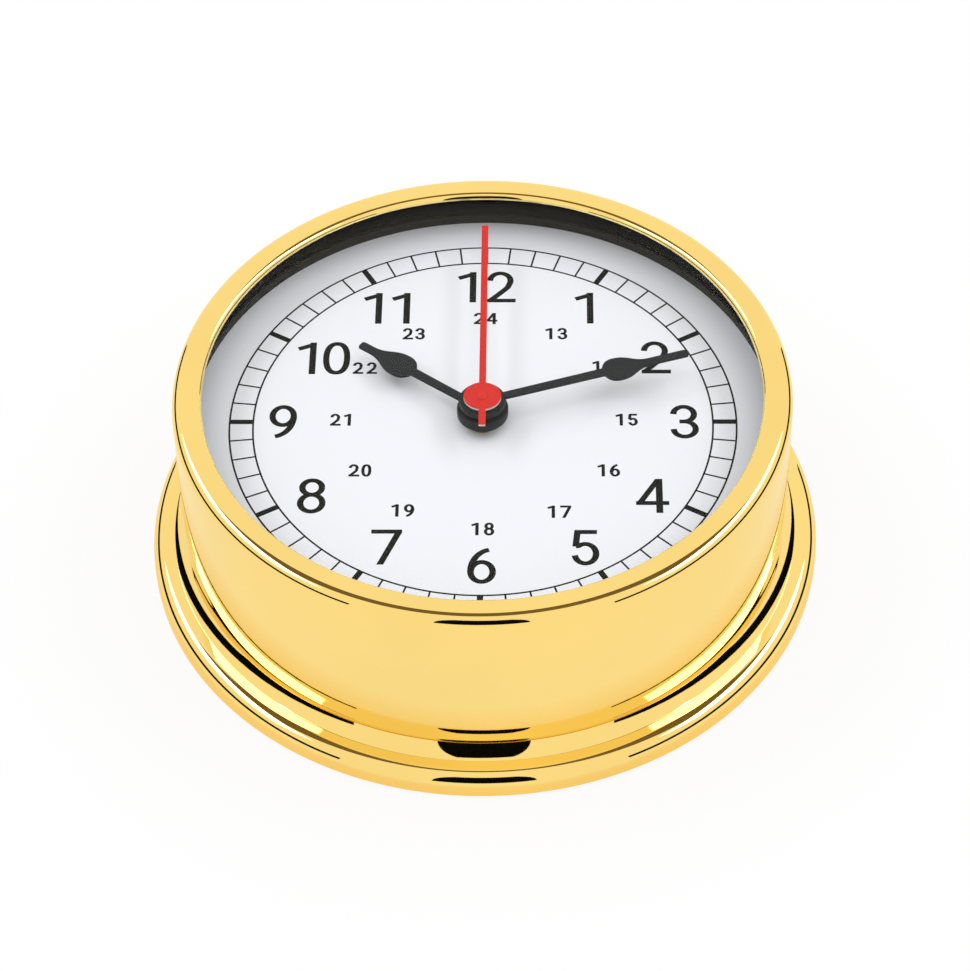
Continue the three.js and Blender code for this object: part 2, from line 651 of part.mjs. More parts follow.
function dialSpacer() {
  const bottom = DIAL_TOP + SEAT_GAP;
  const wallInner = STACK_RADIUS - SPACER_WALL;
  const profile = [
    new THREE.Vector2(STACK_RADIUS - SPACER_FOOT_WIDTH, bottom),
    new THREE.Vector2(STACK_RADIUS, bottom),
    new THREE.Vector2(STACK_RADIUS, SPACER_TOP),
    new THREE.Vector2(wallInner, SPACER_TOP),
    new THREE.Vector2(wallInner, bottom + SPACER_FOOT_THICKNESS),
    new THREE.Vector2(STACK_RADIUS - SPACER_FOOT_WIDTH, bottom + SPACER_FOOT_THICKNESS),
    new THREE.Vector2(STACK_RADIUS - SPACER_FOOT_WIDTH, bottom),
  ];
  return turned(profile);
}

const dial = () => ring(BUSH_RADIUS + RUNNING_GAP, STACK_RADIUS, DIAL_BOTTOM, DIAL_TOP);

function retainingRing() {
  const outer = DRUM_BORE + GROOVE_DEPTH - TURNED_GAP;
  const inner = outer - RETAINER_WIDTH;
  const start = -Math.PI / 2 + RETAINER_GAP_ANGLE / 2;
  const end = start + 2 * Math.PI - RETAINER_GAP_ANGLE;
  return wallSegment(inner, outer, start, end, RETAINER_TOP - RETAINER_THICKNESS, RETAINER_TOP);
}

// Movement case
function mountingPad() {
  const bottom = PAD_TOP - PAD_THICKNESS;
  const pad = roundedSlab(PAD_SIDE, MOVEMENT_CORNER, bottom, PAD_TOP);
  return toGeometry(cut(pad, drill(CENTRE, PAD_HOLE_RADIUS, bottom, PAD_TOP, HUB_SEGMENTS)));
}

function centreBush() {
  const flangeTop = DIAL_BOTTOM - SEAT_GAP;
  const flangeBottom = MOVEMENT_FRONT + SEAT_GAP;
  const top = DIAL_TOP + HOUR_HAND.bossBottom - TURNED_GAP;
  const bore = HOUR_PIPE_RADIUS + RUNNING_GAP;
  const profile = [
    new THREE.Vector2(bore, FRONT_WALL),
    new THREE.Vector2(BUSH_RADIUS, FRONT_WALL),
    new THREE.Vector2(BUSH_RADIUS, flangeBottom),
    new THREE.Vector2(BUSH_FLANGE_RADIUS, flangeBottom),
    new THREE.Vector2(BUSH_FLANGE_RADIUS, flangeTop),
    new THREE.Vector2(BUSH_RADIUS, flangeTop),
    new THREE.Vector2(BUSH_RADIUS, top),
    new THREE.Vector2(bore, top),
    new THREE.Vector2(bore, FRONT_WALL),
  ];
  return turned(profile, HUB_SEGMENTS);
}

// A boss with a blind bore in its free end; toward is +1 when the free end is the upper one
function bearingBoss(axis, root, end, toward) {
  const post = rodSolid(axis, BOSS_RADIUS, Math.min(root, end), Math.max(root, end));
  const inner = end - toward * BORE_DEPTH;
  const mouth = end + toward;
  const bore = rodSolid(axis, BORE_RADIUS, Math.min(inner, mouth), Math.max(inner, mouth));
  return { post, bore };
}

function movementCase() {
  const shell = roundedSlab(MOVEMENT_SIDE, MOVEMENT_CORNER, SPLIT + SEAT_GAP, MOVEMENT_FRONT);
  const inside = roundedSlab(2 * INNER_SIDE, INNER_CORNER, SPLIT - CUT_THROUGH, FRONT_WALL);
  const third = bearingBoss(THIRD_AXIS, MOVEMENT_FRONT, THIRD_BOSS_END, -1);
  const setting = bearingBoss(SETTING_AXIS, MOVEMENT_FRONT, SETTING_BOSS_END, -1);
  const bridgePosts = [BRIDGE_POST_LEFT, BRIDGE_POST_RIGHT].map((axis) =>
    rodSolid(axis, BOSS_RADIUS, BRIDGE_TOP + SEAT_GAP, MOVEMENT_FRONT),
  );
  const stud = rodSolid(TRANSFER_AXIS, TRANSFER_STUD_RADIUS, levelBottom("transfer"), MOVEMENT_FRONT);
  const posts = BOARD_POSTS.map((axis) =>
    rodSolid(axis, BOSS_RADIUS, BOARD_TOP + SEAT_GAP, MOVEMENT_FRONT),
  );
  const hole = drill(CENTRE, BUSH_RADIUS + RUNNING_GAP, FRONT_WALL, MOVEMENT_FRONT, HUB_SEGMENTS);
  const cup = cut(shell, inside);
  const whole = joined(cup, third.post, setting.post, ...bridgePosts, stud, ...posts);
  return toGeometry(cut(whole, third.bore, setting.bore, hole));
}

function movementBack() {
  const shell = roundedSlab(MOVEMENT_SIDE, MOVEMENT_CORNER, MOVEMENT_BACK, SPLIT - SEAT_GAP);
  const inside = roundedSlab(2 * INNER_SIDE, INNER_CORNER, REAR_WALL, SPLIT + CUT_THROUGH);
  const bay = toSolid(
    block(
      -CONTACT_OUTER,
      CONTACT_OUTER,
      -INNER_SIDE + SEAT_GAP,
      BAY_TOP_Y,
      MOVEMENT_BACK - CUT_THROUGH,
      REAR_WALL + CUT_THROUGH,
    ),
  );
  const divider = toSolid(
    block(
      -BETWEEN_CONTACTS,
      BETWEEN_CONTACTS,
      BAY_TOP_Y,
      BAY_TOP_Y + DIVIDER_WALL,
      MOVEMENT_BACK,
      FRONT_WALL - BEARING_GAP,
    ),
  );
  const recessWall = rodSolid(
    SETTING_AXIS,
    RECESS_RADIUS + MOVEMENT_WALL,
    MOVEMENT_BACK,
    RECESS_TOP + MOVEMENT_WALL,
    HUB_SEGMENTS,
  );
  const recess = rodSolid(
    SETTING_AXIS,
    RECESS_RADIUS,
    MOVEMENT_BACK - CUT_THROUGH,
    RECESS_TOP,
    HUB_SEGMENTS,
  );
  const shaftHole = drill(
    SETTING_AXIS,
    SETTING_SHAFT_RADIUS + RUNNING_GAP,
    RECESS_TOP,
    RECESS_TOP + MOVEMENT_WALL,
  );
  const bosses = [
    bearingBoss(CENTRE, MOVEMENT_BACK, levelBottom("seconds") - BEARING_GAP, 1),
    bearingBoss(THIRD_AXIS, MOVEMENT_BACK, levelBottom("third") - BEARING_GAP, 1),
    bearingBoss(INTERMEDIATE_AXIS, MOVEMENT_BACK, levelBottom("intermediate") - BEARING_GAP, 1),
    bearingBoss(ROTOR_AXIS, MOVEMENT_BACK, ROTOR_PINION_BOTTOM - BEARING_GAP, 1),
  ];
  const motorPosts = MOTOR_SCREWS.map((axis) =>
    rodSolid(axis, STATOR_ARM_RADIUS, MOVEMENT_BACK, STATOR_BOTTOM - SEAT_GAP),
  );
  const motorHoles = MOTOR_SCREWS.map((axis) =>
    rodSolid(axis, MOTOR_SCREW_HOLE, MOTOR_SCREW_END - PIVOT_END_GAP, STATOR_BOTTOM + CUT_THROUGH),
  );
  const cup = cut(cut(shell, inside), bay);
  const whole = joined(cup, divider, recessWall, ...bosses.map((boss) => boss.post), ...motorPosts);
  return toGeometry(cut(whole, recess, shaftHole, ...bosses.map((boss) => boss.bore), ...motorHoles));
}

// Movement pieces that don't turn
function trainBridge() {
  const bars = [
    [BRIDGE_POST_LEFT, INTERMEDIATE_AXIS],
    [INTERMEDIATE_AXIS, ROTOR_AXIS],
    [ROTOR_AXIS, BRIDGE_POST_RIGHT],
  ].map(([from, to]) => toSolid(prism(barShape(from, to, BRIDGE_HALF_WIDTH), BRIDGE_BOTTOM, BRIDGE_TOP)));
  const holes = [INTERMEDIATE_AXIS, ROTOR_AXIS].map((axis) =>
    drill(axis, BORE_RADIUS, BRIDGE_BOTTOM, BRIDGE_TOP),
  );
  return toGeometry(cut(joined(...bars), ...holes));
}

function circuitBoard() {
  return block(-BETWEEN_CONTACTS, BETWEEN_CONTACTS, BOARD_FRONT, BOARD_BACK, BOARD_BOTTOM, BOARD_TOP);
}

function driverChip() {
  const top = BOARD_BOTTOM - SEAT_GAP;
  const profile = [
    ...arc(0, top, CHIP_RADIUS, CHIP_HEIGHT, -Math.PI / 2, 0, 4),
    new THREE.Vector2(0, top),
  ];
  return turned(profile, HUB_SEGMENTS);
}

function quartzCrystal() {
  const dome = CRYSTAL_RADIUS / 2;
  const shoulder = CRYSTAL_LENGTH / 2 - dome;
  const profile = [
    ...arc(0, -shoulder, CRYSTAL_RADIUS, dome, -Math.PI / 2, 0, 3),
    ...arc(0, shoulder, CRYSTAL_RADIUS, dome, 0, Math.PI / 2, 2),
  ];
  return turned(profile, PIN_SEGMENTS);
}

function stator() {
  const ringRadius = MAGNET_RADIUS + STATOR_AIR_GAP + STATOR_RING_WIDTH;
  const body = rodSolid(ROTOR_AXIS, ringRadius, STATOR_BOTTOM, STATOR_TOP, HUB_SEGMENTS);
  const arms = MOTOR_SCREWS.map((end) => {
    const start = new THREE.Vector2(end.x, ROTOR_AXIS.y + STATOR_ARM_RADIUS);
    const inward = start.lerp(new THREE.Vector2(ROTOR_AXIS.x, start.y), STATOR_ARM_START);
    return toSolid(prism(barShape(inward, end, STATOR_ARM_RADIUS), STATOR_BOTTOM, STATOR_TOP));
  });
  const hole = (axis, radius, segments) => drill(axis, radius, STATOR_BOTTOM, STATOR_TOP, segments);
  const rotorHole = hole(ROTOR_AXIS, MAGNET_RADIUS + STATOR_AIR_GAP, HUB_SEGMENTS);
  const arborHole = hole(INTERMEDIATE_AXIS, BOSS_RADIUS);
  const screwHoles = MOTOR_SCREWS.map((axis) => hole(axis, MOTOR_SCREW_HOLE));
  return toGeometry(cut(joined(body, ...arms), rotorHole, arborHole, ...screwHoles));
}

function coilCore() {
  const bar = toSolid(prism(barShape(...MOTOR_SCREWS, CORE_HALF_WIDTH), CORE_BOTTOM, CORE_TOP));
  const holes = MOTOR_SCREWS.map((axis) => drill(axis, MOTOR_SCREW_HOLE, CORE_BOTTOM, CORE_TOP));
  return toGeometry(cut(bar, ...holes));
}

function motorScrew() {
  const seat = SEAT_GAP;
  const profile = [
    new THREE.Vector2(0, -MOTOR_SCREW_LENGTH),
    new THREE.Vector2(MOTOR_SCREW_RADIUS, -MOTOR_SCREW_LENGTH),
    new THREE.Vector2(MOTOR_SCREW_RADIUS, seat),
    new THREE.Vector2(MOTOR_SCREW_HEAD_RADIUS, seat),
    ...arc(0, seat, MOTOR_SCREW_HEAD_RADIUS, MOTOR_SCREW_HEAD_HEIGHT, Math.PI / 8, Math.PI / 2, 2),
  ];
  return turned(profile, PIN_SEGMENTS);
}

// Drawn along its own axis, then laid along X in place
function coilBobbin() {
  const half = BOBBIN_LENGTH / 2;
  const shoulder = half - BOBBIN_FLANGE_THICKNESS;
  const profile = [
    new THREE.Vector2(0, -half),
    new THREE.Vector2(BOBBIN_FLANGE_RADIUS, -half),
    new THREE.Vector2(BOBBIN_FLANGE_RADIUS, -shoulder),
    new THREE.Vector2(BOBBIN_BARREL_RADIUS, -shoulder),
    new THREE.Vector2(BOBBIN_BARREL_RADIUS, shoulder),
    new THREE.Vector2(BOBBIN_FLANGE_RADIUS, shoulder),
    new THREE.Vector2(BOBBIN_FLANGE_RADIUS, half),
    new THREE.Vector2(0, half),
  ];
  const windowHalfWidth = CORE_HALF_WIDTH + RUNNING_GAP;
  const windowHalfHeight = STATOR_THICKNESS / 2 + RUNNING_GAP;
  const window = block(
    -windowHalfHeight,
    windowHalfHeight,
    -windowHalfWidth,
    windowHalfWidth,
    -half - CUT_THROUGH,
    half + CUT_THROUGH,
  );
  return toGeometry(cut(toSolid(turned(profile, HUB_SEGMENTS)), toSolid(window)));
}

function coilWinding() {
  const half = BOBBIN_LENGTH / 2 - BOBBIN_FLANGE_THICKNESS - TURNED_GAP;
  return ring(BOBBIN_BARREL_RADIUS + TURNED_GAP, COIL_RADIUS, -half, half, HUB_SEGMENTS);
}

// A strip on edge along the side wall: a broad pad behind the battery's end, and a tail up to the board
function contact(side) {
  const padBack = BATTERY_Y + CONTACT_WIDTH / 2;
  const padFront = BATTERY_Y - CONTACT_WIDTH / 2;
  const padBottom = BATTERY_Z - CONTACT_WIDTH / 2;
  const top = BOARD_BOTTOM - SEAT_GAP;
  const inStrip = CONTACT_INNER + CONTACT_THICKNESS / 2;
  const tabEnd = CONTACT_INNER - CONTACT_TAB;
  const outline = new THREE.Shape([
    new THREE.Vector2(padFront, padBottom),
    new THREE.Vector2(padBack, padBottom),
    new THREE.Vector2(padBack, top - CONTACT_TAIL),
    new THREE.Vector2(BOARD_MIDDLE, top - CONTACT_TAIL),
    new THREE.Vector2(BOARD_MIDDLE, top),
    new THREE.Vector2(padFront, top),
  ]);
  const strip = toSolid(
    prism(outline, 0, CONTACT_THICKNESS)
      .rotateY(Math.PI / 2)
      .rotateX(Math.PI / 2)
      .translate(side > 0 ? CONTACT_INNER : -CONTACT_OUTER, 0, 0),
  );
  const tab = toSolid(
    block(
      Math.min(side * inStrip, side * tabEnd),
      Math.max(side * inStrip, side * tabEnd),
      BOARD_MIDDLE - CONTACT_TAB,
      BOARD_MIDDLE,
      top - CONTACT_THICKNESS,
      top,
    ),
  );
  const button = toSolid(
    disc(CONTACT_BUTTON_RADIUS, 0, CONTACT_REACH, PIN_SEGMENTS)
      .rotateY((-side * Math.PI) / 2)
      .translate(side * inStrip, BATTERY_Y, BATTERY_Z),
  );
  return toGeometry(joined(strip, tab, button));
}

function battery() {
  const half = BATTERY_LENGTH / 2;
  const shoulder = half - BATTERY_NUB_LENGTH;
  const profile = [
    new THREE.Vector2(0, -half),
    new THREE.Vector2(BATTERY_RADIUS - BATTERY_EDGE, -half),
    new THREE.Vector2(BATTERY_RADIUS, -half + BATTERY_EDGE),
    new THREE.Vector2(BATTERY_RADIUS, shoulder - BATTERY_EDGE),
    new THREE.Vector2(BATTERY_RADIUS - BATTERY_EDGE, shoulder),
    new THREE.Vector2(BATTERY_NUB_RADIUS, shoulder),
    new THREE.Vector2(BATTERY_NUB_RADIUS, half),
    new THREE.Vector2(0, half),
  ];
  return turned(profile, HUB_SEGMENTS);
}

// Wheels and pinions, each drawn in place
function wheelWithPinion(axis, wheel, pinion, bottomEnd, topEnd) {
  const arbor = rodSolid(axis, ARBOR_RADIUS, bottomEnd, topEnd);
  return joined(
    gear(
      wheel.teeth,
      wheel.module,
      WHEEL_TOOTH,
      wheel.turn,
      axis,
      levelBottom(wheel.level),
      levelTop(wheel.level),
    ),
    gear(
      pinion.teeth,
      pinion.module,
      PINION_TOOTH,
      pinion.turn,
      axis,
      levelBottom(wheel.level) + WHEEL_THICKNESS / 2,
      levelTop(pinion.level) + PINION_OVERHANG,
    ),
    arbor,
  );
}

function rotorPinion() {
  const bridgeEnd = BRIDGE_TOP - PIVOT_END_GAP;
  const lowerEnd = ROTOR_PINION_BOTTOM - BEARING_GAP - BORE_DEPTH + PIVOT_END_GAP;
  return toGeometry(
    joined(
      gear(
        ROTOR_PINION_TEETH,
        ROTOR_MODULE,
        PINION_TOOTH,
        ROTOR_TURN,
        ROTOR_AXIS,
        ROTOR_PINION_BOTTOM,
        ROTOR_PINION_TOP,
      ),
      rodSolid(ROTOR_AXIS, ARBOR_RADIUS, lowerEnd, bridgeEnd),
      rodSolid(
        ROTOR_AXIS,
        MAGNET_RADIUS,
        BRIDGE_BOTTOM - TURNED_GAP - MAGNET_HEIGHT,
        BRIDGE_BOTTOM - TURNED_GAP,
        HUB_SEGMENTS,
      ),
    ),
  );
}

function intermediateWheel() {
  const bossEnd = levelBottom("intermediate") - BEARING_GAP;
  return toGeometry(
    wheelWithPinion(
      INTERMEDIATE_AXIS,
      {
        teeth: INTERMEDIATE_WHEEL_TEETH,
        module: ROTOR_MODULE,
        turn: INTERMEDIATE_TURN,
        level: "intermediate",
      },
      {
        teeth: INTERMEDIATE_PINION_TEETH,
        module: INTERMEDIATE_MODULE,
        turn: INTERMEDIATE_TURN,
        level: "seconds",
      },
      bossEnd - BORE_DEPTH + PIVOT_END_GAP,
      BRIDGE_TOP - PIVOT_END_GAP,
    ),
  );
}

function secondsWheel() {
  const bossEnd = levelBottom("seconds") - BEARING_GAP;
  return toGeometry(
    wheelWithPinion(
      CENTRE,
      {
        teeth: SECONDS_WHEEL_TEETH,
        module: INTERMEDIATE_MODULE,
        turn: SECONDS_TURN,
        level: "seconds",
      },
      {
        teeth: SECONDS_PINION_TEETH,
        module: THIRD_MODULE,
        turn: SECONDS_TURN,
        level: "third",
      },
      bossEnd - BORE_DEPTH + PIVOT_END_GAP,
      SECOND_ARBOR_TOP,
    ),
  );
}

function thirdWheel() {
  const bossEnd = levelBottom("third") - BEARING_GAP;
  return toGeometry(
    wheelWithPinion(
      THIRD_AXIS,
      { teeth: THIRD_WHEEL_TEETH, module: THIRD_MODULE, turn: THIRD_TURN, level: "third" },
      { teeth: THIRD_PINION_TEETH, module: CENTRE_MODULE, turn: THIRD_TURN, level: "centre" },
      bossEnd - BORE_DEPTH + PIVOT_END_GAP,
      THIRD_BOSS_END + BORE_DEPTH - PIVOT_END_GAP,
    ),
  );
}

function centreWheel() {
  const hubRadius = MINUTE_PIPE_RADIUS + 2 * PIPE_WALL;
  const wheel = gear(
    CENTRE_WHEEL_TEETH,
    CENTRE_MODULE,
    WHEEL_TOOTH,
    0,
    CENTRE,
    levelBottom("centre"),
    levelTop("centre"),
  );
  const hub = rodSolid(
    CENTRE,
    hubRadius,
    levelBottom("centre"),
    CANNON_PINION_BOTTOM - SEAT_GAP,
    HUB_SEGMENTS,
  );
  const bore = drill(
    CENTRE,
    MINUTE_PIPE_RADIUS + FACET_ROOM,
    levelBottom("centre"),
    CANNON_PINION_BOTTOM,
    HUB_SEGMENTS,
  );
  return toGeometry(cut(joined(wheel, hub), bore));
}

function cannonPinion() {
  const top = DIAL_TOP + MINUTE_HAND.bossTop;
  const pinion = gear(
    CANNON_TEETH,
    CANNON_MODULE,
    PINION_TOOTH,
    0,
    CENTRE,
    CANNON_PINION_BOTTOM,
    levelTop("transfer") + PINION_OVERHANG,
  );
  const pipe = rodSolid(CENTRE, MINUTE_PIPE_RADIUS, CANNON_FOOT, top, HUB_SEGMENTS);
  const bore = drill(CENTRE, MINUTE_PIPE_RADIUS - PIPE_WALL, CANNON_FOOT, top, HUB_SEGMENTS);
  return toGeometry(cut(joined(pinion, pipe), bore));
}

function transferWheel() {
  const wheel = gear(
    TRANSFER_WHEEL_TEETH,
    CANNON_MODULE,
    WHEEL_TOOTH,
    TRANSFER_TURN,
    TRANSFER_AXIS,
    levelBottom("transfer"),
    levelTop("transfer"),
  );
  const pinion = gear(
    TRANSFER_PINION_TEETH,
    HOUR_MODULE,
    PINION_TOOTH,
    TRANSFER_TURN,
    TRANSFER_AXIS,
    levelTop("transfer") - WHEEL_THICKNESS / 2,
    FRONT_WALL - TURNED_GAP,
  );
  const bore = drill(
    TRANSFER_AXIS,
    TRANSFER_STUD_RADIUS + RUNNING_GAP,
    levelBottom("transfer"),
    FRONT_WALL,
  );
  return toGeometry(cut(joined(wheel, pinion), bore));
}

function hourWheel() {
  const top = DIAL_TOP + HOUR_HAND.bossTop;
  const wheel = gear(
    HOUR_WHEEL_TEETH,
    HOUR_MODULE,
    WHEEL_TOOTH,
    HOUR_TURN,
    CENTRE,
    levelBottom("hour"),
    levelTop("hour"),
  );
  const pipe = rodSolid(CENTRE, HOUR_PIPE_RADIUS, levelBottom("hour"), top, HUB_SEGMENTS);
  const bore = drill(CENTRE, MINUTE_PIPE_RADIUS + RUNNING_GAP, levelBottom("hour"), top, HUB_SEGMENTS);
  return toGeometry(cut(joined(wheel, pipe), bore));
}

function settingKnob() {
  const pinion = gear(
    SETTING_TEETH,
    CANNON_MODULE,
    PINION_TOOTH,
    SETTING_TURN,
    SETTING_AXIS,
    levelBottom("transfer") - PINION_OVERHANG,
    levelTop("transfer") + PINION_OVERHANG,
  );
  const pivot = rodSolid(
    SETTING_AXIS,
    ARBOR_RADIUS,
    levelTop("transfer"),
    SETTING_BOSS_END + BORE_DEPTH - PIVOT_END_GAP,
  );
  const shaftBottom = KNOB_TOP - KNOB_HEIGHT / 2;
  const shaft = rodSolid(SETTING_AXIS, SETTING_SHAFT_RADIUS, shaftBottom, levelTop("transfer"));
  const flutes = Array.from({ length: 2 * KNOB_FLUTES }, (_, index) => {
    const radius = KNOB_RADIUS - (index % 2) * KNOB_FLUTE_DEPTH;
    return polar(radius, (index * Math.PI) / KNOB_FLUTES).add(SETTING_AXIS);
  });
  const knob = toSolid(prism(new THREE.Shape(flutes), KNOB_BOTTOM, KNOB_TOP));
  return toGeometry(joined(pinion, pivot, shaft, knob));
}

// Hands, drawn towards twelve and turned to their place
function spadeShape(hand) {
  const stem = hand.stem / 2;
  const bulb = hand.bulb / 2;
  const shoulder = (hand.bulbWidest - hand.bulbStart) * SHOULDER_SHARE;
  const flare = (hand.neck - hand.bulbWidest) * FLARE_SHARE;
  const corner = stem * TIP_CORNER_SHARE;
  const shape = new THREE.Shape();
  shape.moveTo(-stem, 0);
  shape.lineTo(stem, 0);
  shape.lineTo(stem, hand.bulbStart);
  shape.bezierCurveTo(
    bulb,
    hand.bulbStart + shoulder,
    bulb,
    hand.bulbWidest - shoulder,
    bulb,
    hand.bulbWidest,
  );
  shape.bezierCurveTo(bulb, hand.bulbWidest + flare, stem, hand.neck - flare, stem, hand.neck);
  shape.lineTo(stem, hand.length - corner);
  shape.lineTo(stem - corner, hand.length);
  shape.lineTo(corner - stem, hand.length);
  shape.lineTo(-stem, hand.length - corner);
  shape.lineTo(-stem, hand.neck);
  shape.bezierCurveTo(-stem, hand.neck - flare, -bulb, hand.bulbWidest + flare, -bulb, hand.bulbWidest);
  shape.bezierCurveTo(
    -bulb,
    hand.bulbWidest - shoulder,
    -bulb,
    hand.bulbStart + shoulder,
    -stem,
    hand.bulbStart,
  );
  shape.closePath();
  return shape;
}

function spadeHand(hand, pipeRadius) {
  const bladeTop = DIAL_TOP + hand.bladeTop;
  const bossBottom = DIAL_TOP + hand.bossBottom;
  const bossTop = DIAL_TOP + hand.bossTop;
  const blade = toSolid(prism(spadeShape(hand), bladeTop - BLADE_THICKNESS, bladeTop, 5));
  const profile = [
    new THREE.Vector2(0, bossBottom),
    new THREE.Vector2(hand.bossRadius - BOSS_CHAMFER, bossBottom),
    new THREE.Vector2(hand.bossRadius, bossBottom + BOSS_CHAMFER),
    new THREE.Vector2(hand.bossRadius, bossTop - BOSS_CHAMFER),
    new THREE.Vector2(hand.bossRadius - BOSS_CHAMFER, bossTop),
    new THREE.Vector2(0, bossTop),
  ];
  const boss = toSolid(turned(profile, HUB_SEGMENTS));
  const bore = drill(CENTRE, pipeRadius + FACET_ROOM, bossBottom, bossTop, HUB_SEGMENTS);
  return toGeometry(cut(joined(blade, boss), bore));
}

function secondHand() {
  const top = DIAL_TOP + SECOND_DISC_TOP;
  const bottom = top - BLADE_THICKNESS;
  const half = SECOND_HAND_WIDTH / 2;
  const blade = toSolid(block(-half, half, -SECOND_HAND_TAIL, SECOND_HAND_LENGTH, bottom, top));
  const plate = rodSolid(CENTRE, SECOND_DISC_RADIUS, bottom, top, HUB_SEGMENTS);
  const hole = drill(CENTRE, RIVET_NECK_RADIUS + FACET_ROOM, bottom, top);
  return toGeometry(cut(joined(blade, plate), hole));
}

function secondHandRivet() {
  const seat = DIAL_TOP + SECOND_DISC_TOP + SEAT_GAP;
  const profile = [
    new THREE.Vector2(0, SECOND_ARBOR_TOP + SEAT_GAP),
    new THREE.Vector2(RIVET_NECK_RADIUS, SECOND_ARBOR_TOP + SEAT_GAP),
    new THREE.Vector2(RIVET_NECK_RADIUS, seat),
    new THREE.Vector2(RIVET_RADIUS, seat),
    ...arc(0, seat, RIVET_RADIUS, RIVET_DOME, Math.PI / 8, Math.PI / 2, 2),
  ];
  return turned(profile, PIN_SEGMENTS);
}

// The clock
const clock = new THREE.Group();
clock.name = "marine_clock";

function place(name, geometry, material, position = [0, 0, 0], turn = [0, 0, 0]) {
  const mesh = new THREE.Mesh(geometry, material);
  mesh.name = name;
  mesh.position.set(...position);
  mesh.rotation.set(...turn);
  clock.add(mesh);
}

place("base_flange", baseFlange(), polishedBrass());
place("case_drum", caseDrum(), polishedBrass());
place("glass_gasket", glassGasket(), blackPlastic());
place("glass", glass(), finish(0xf4f8f8, 0.02, 0, 0.25));
place("dial_spacer", dialSpacer(), blackPlastic());
place("dial", dial(), finish(0xf3f5f8, 0.6, 0));
place("retaining_ring", retainingRing(), steel());

place("mounting_pad", mountingPad(), greyPlastic());
place("centre_bush", centreBush(), plainBrass());
place("movement_case", movementCase(), blackPlastic());
place("movement_back", movementBack(), blackPlastic());
place("train_bridge", trainBridge(), whiteNylon());
place("circuit_board", circuitBoard(), finish(0x3b6b3f, 0.6, 0));
place(
  "driver_chip",
  driverChip(),
  blackPlastic(),
  [BOARD_PART_CENTRE + BOARD_PART_SPREAD, BOARD_MIDDLE, 0],
);
place(
  "quartz_crystal",
  quartzCrystal(),
  steel(),
  [BOARD_PART_CENTRE - BOARD_PART_SPREAD, BOARD_MIDDLE, BOARD_BOTTOM - SEAT_GAP - CRYSTAL_RADIUS],
  [0, Math.PI / 2, 0],
);

const coilPlace = [ROTOR_AXIS.x, COIL_Y, (CORE_BOTTOM + CORE_TOP) / 2];
place("stator", stator(), steel());
place("coil_core", coilCore(), steel());
place("coil_bobbin", coilBobbin(), whiteNylon(), coilPlace, [0, Math.PI / 2, 0]);
place("coil_winding", coilWinding(), finish(0xb5652b, 0.4, 1), coilPlace, [0, Math.PI / 2, 0]);
MOTOR_SCREWS.forEach((axis, index) => {
  place(`motor_screw_${index + 1}`, motorScrew(), steel(), [axis.x, axis.y, CORE_TOP]);
});

place("battery", battery(), finish(0x4a5560, 0.35, 0.6), [0, BATTERY_Y, BATTERY_Z], [0, -Math.PI / 2, 0]);
place("contact_positive", contact(-1), steel());
place("contact_negative", contact(1), steel());

place("rotor", rotorPinion(), whiteNylon());
place("intermediate_wheel", intermediateWheel(), whiteNylon());
place("seconds_wheel", secondsWheel(), plainBrass());
place("third_wheel", thirdWheel(), whiteNylon());
place("centre_wheel", centreWheel(), plainBrass());
place("cannon_pinion", cannonPinion(), plainBrass());
place("transfer_wheel", transferWheel(), whiteNylon());
place("hour_wheel", hourWheel(), whiteNylon());
place("setting_knob", settingKnob(), whiteNylon());

place(
  "hour_hand",
  spadeHand(HOUR_HAND, HOUR_PIPE_RADIUS),
  handPaint(),
  [0, 0, 0],
  [0, 0, -HOUR_HAND_ANGLE],
);
place(
  "minute_hand",
  spadeHand(MINUTE_HAND, MINUTE_PIPE_RADIUS),
  handPaint(),
  [0, 0, 0],
  [0, 0, -MINUTE_HAND_ANGLE],
);
place("second_hand", secondHand(), redPaint());
place("second_hand_rivet", secondHandRivet(), redPaint());

export default clock;
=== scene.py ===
"""Looks of a small brass marine clock, laid out as a Blender add-on and run as a script.

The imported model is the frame. Outlines of the clock's pieces are in millimetres, heights count
from its back face, and y points to twelve o'clock. The studio round it is in metres.
"""

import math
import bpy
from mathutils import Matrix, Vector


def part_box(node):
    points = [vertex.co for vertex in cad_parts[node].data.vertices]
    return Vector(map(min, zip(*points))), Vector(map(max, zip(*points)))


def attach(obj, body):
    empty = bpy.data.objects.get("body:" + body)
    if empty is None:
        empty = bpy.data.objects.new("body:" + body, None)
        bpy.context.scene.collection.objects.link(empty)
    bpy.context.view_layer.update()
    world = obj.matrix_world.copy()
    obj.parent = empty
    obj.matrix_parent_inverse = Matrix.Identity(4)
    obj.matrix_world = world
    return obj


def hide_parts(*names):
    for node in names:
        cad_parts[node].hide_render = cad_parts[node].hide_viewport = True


bl_info = {
    "name": "Marine clock",
    "version": (1, 0, 0),
    "blender": (4, 5, 0),
    "location": "View3D > Sidebar > Marine clock",
    "description": "Brass case, printed dial, hands and movement of a marine clock",
    "category": "Object",
}

from types import SimpleNamespace

import bmesh
import bpy
from bpy.props import FloatProperty, FloatVectorProperty, PointerProperty
from mathutils import Matrix, Vector
from mathutils.geometry import delaunay_2d_cdt, interpolate_bezier

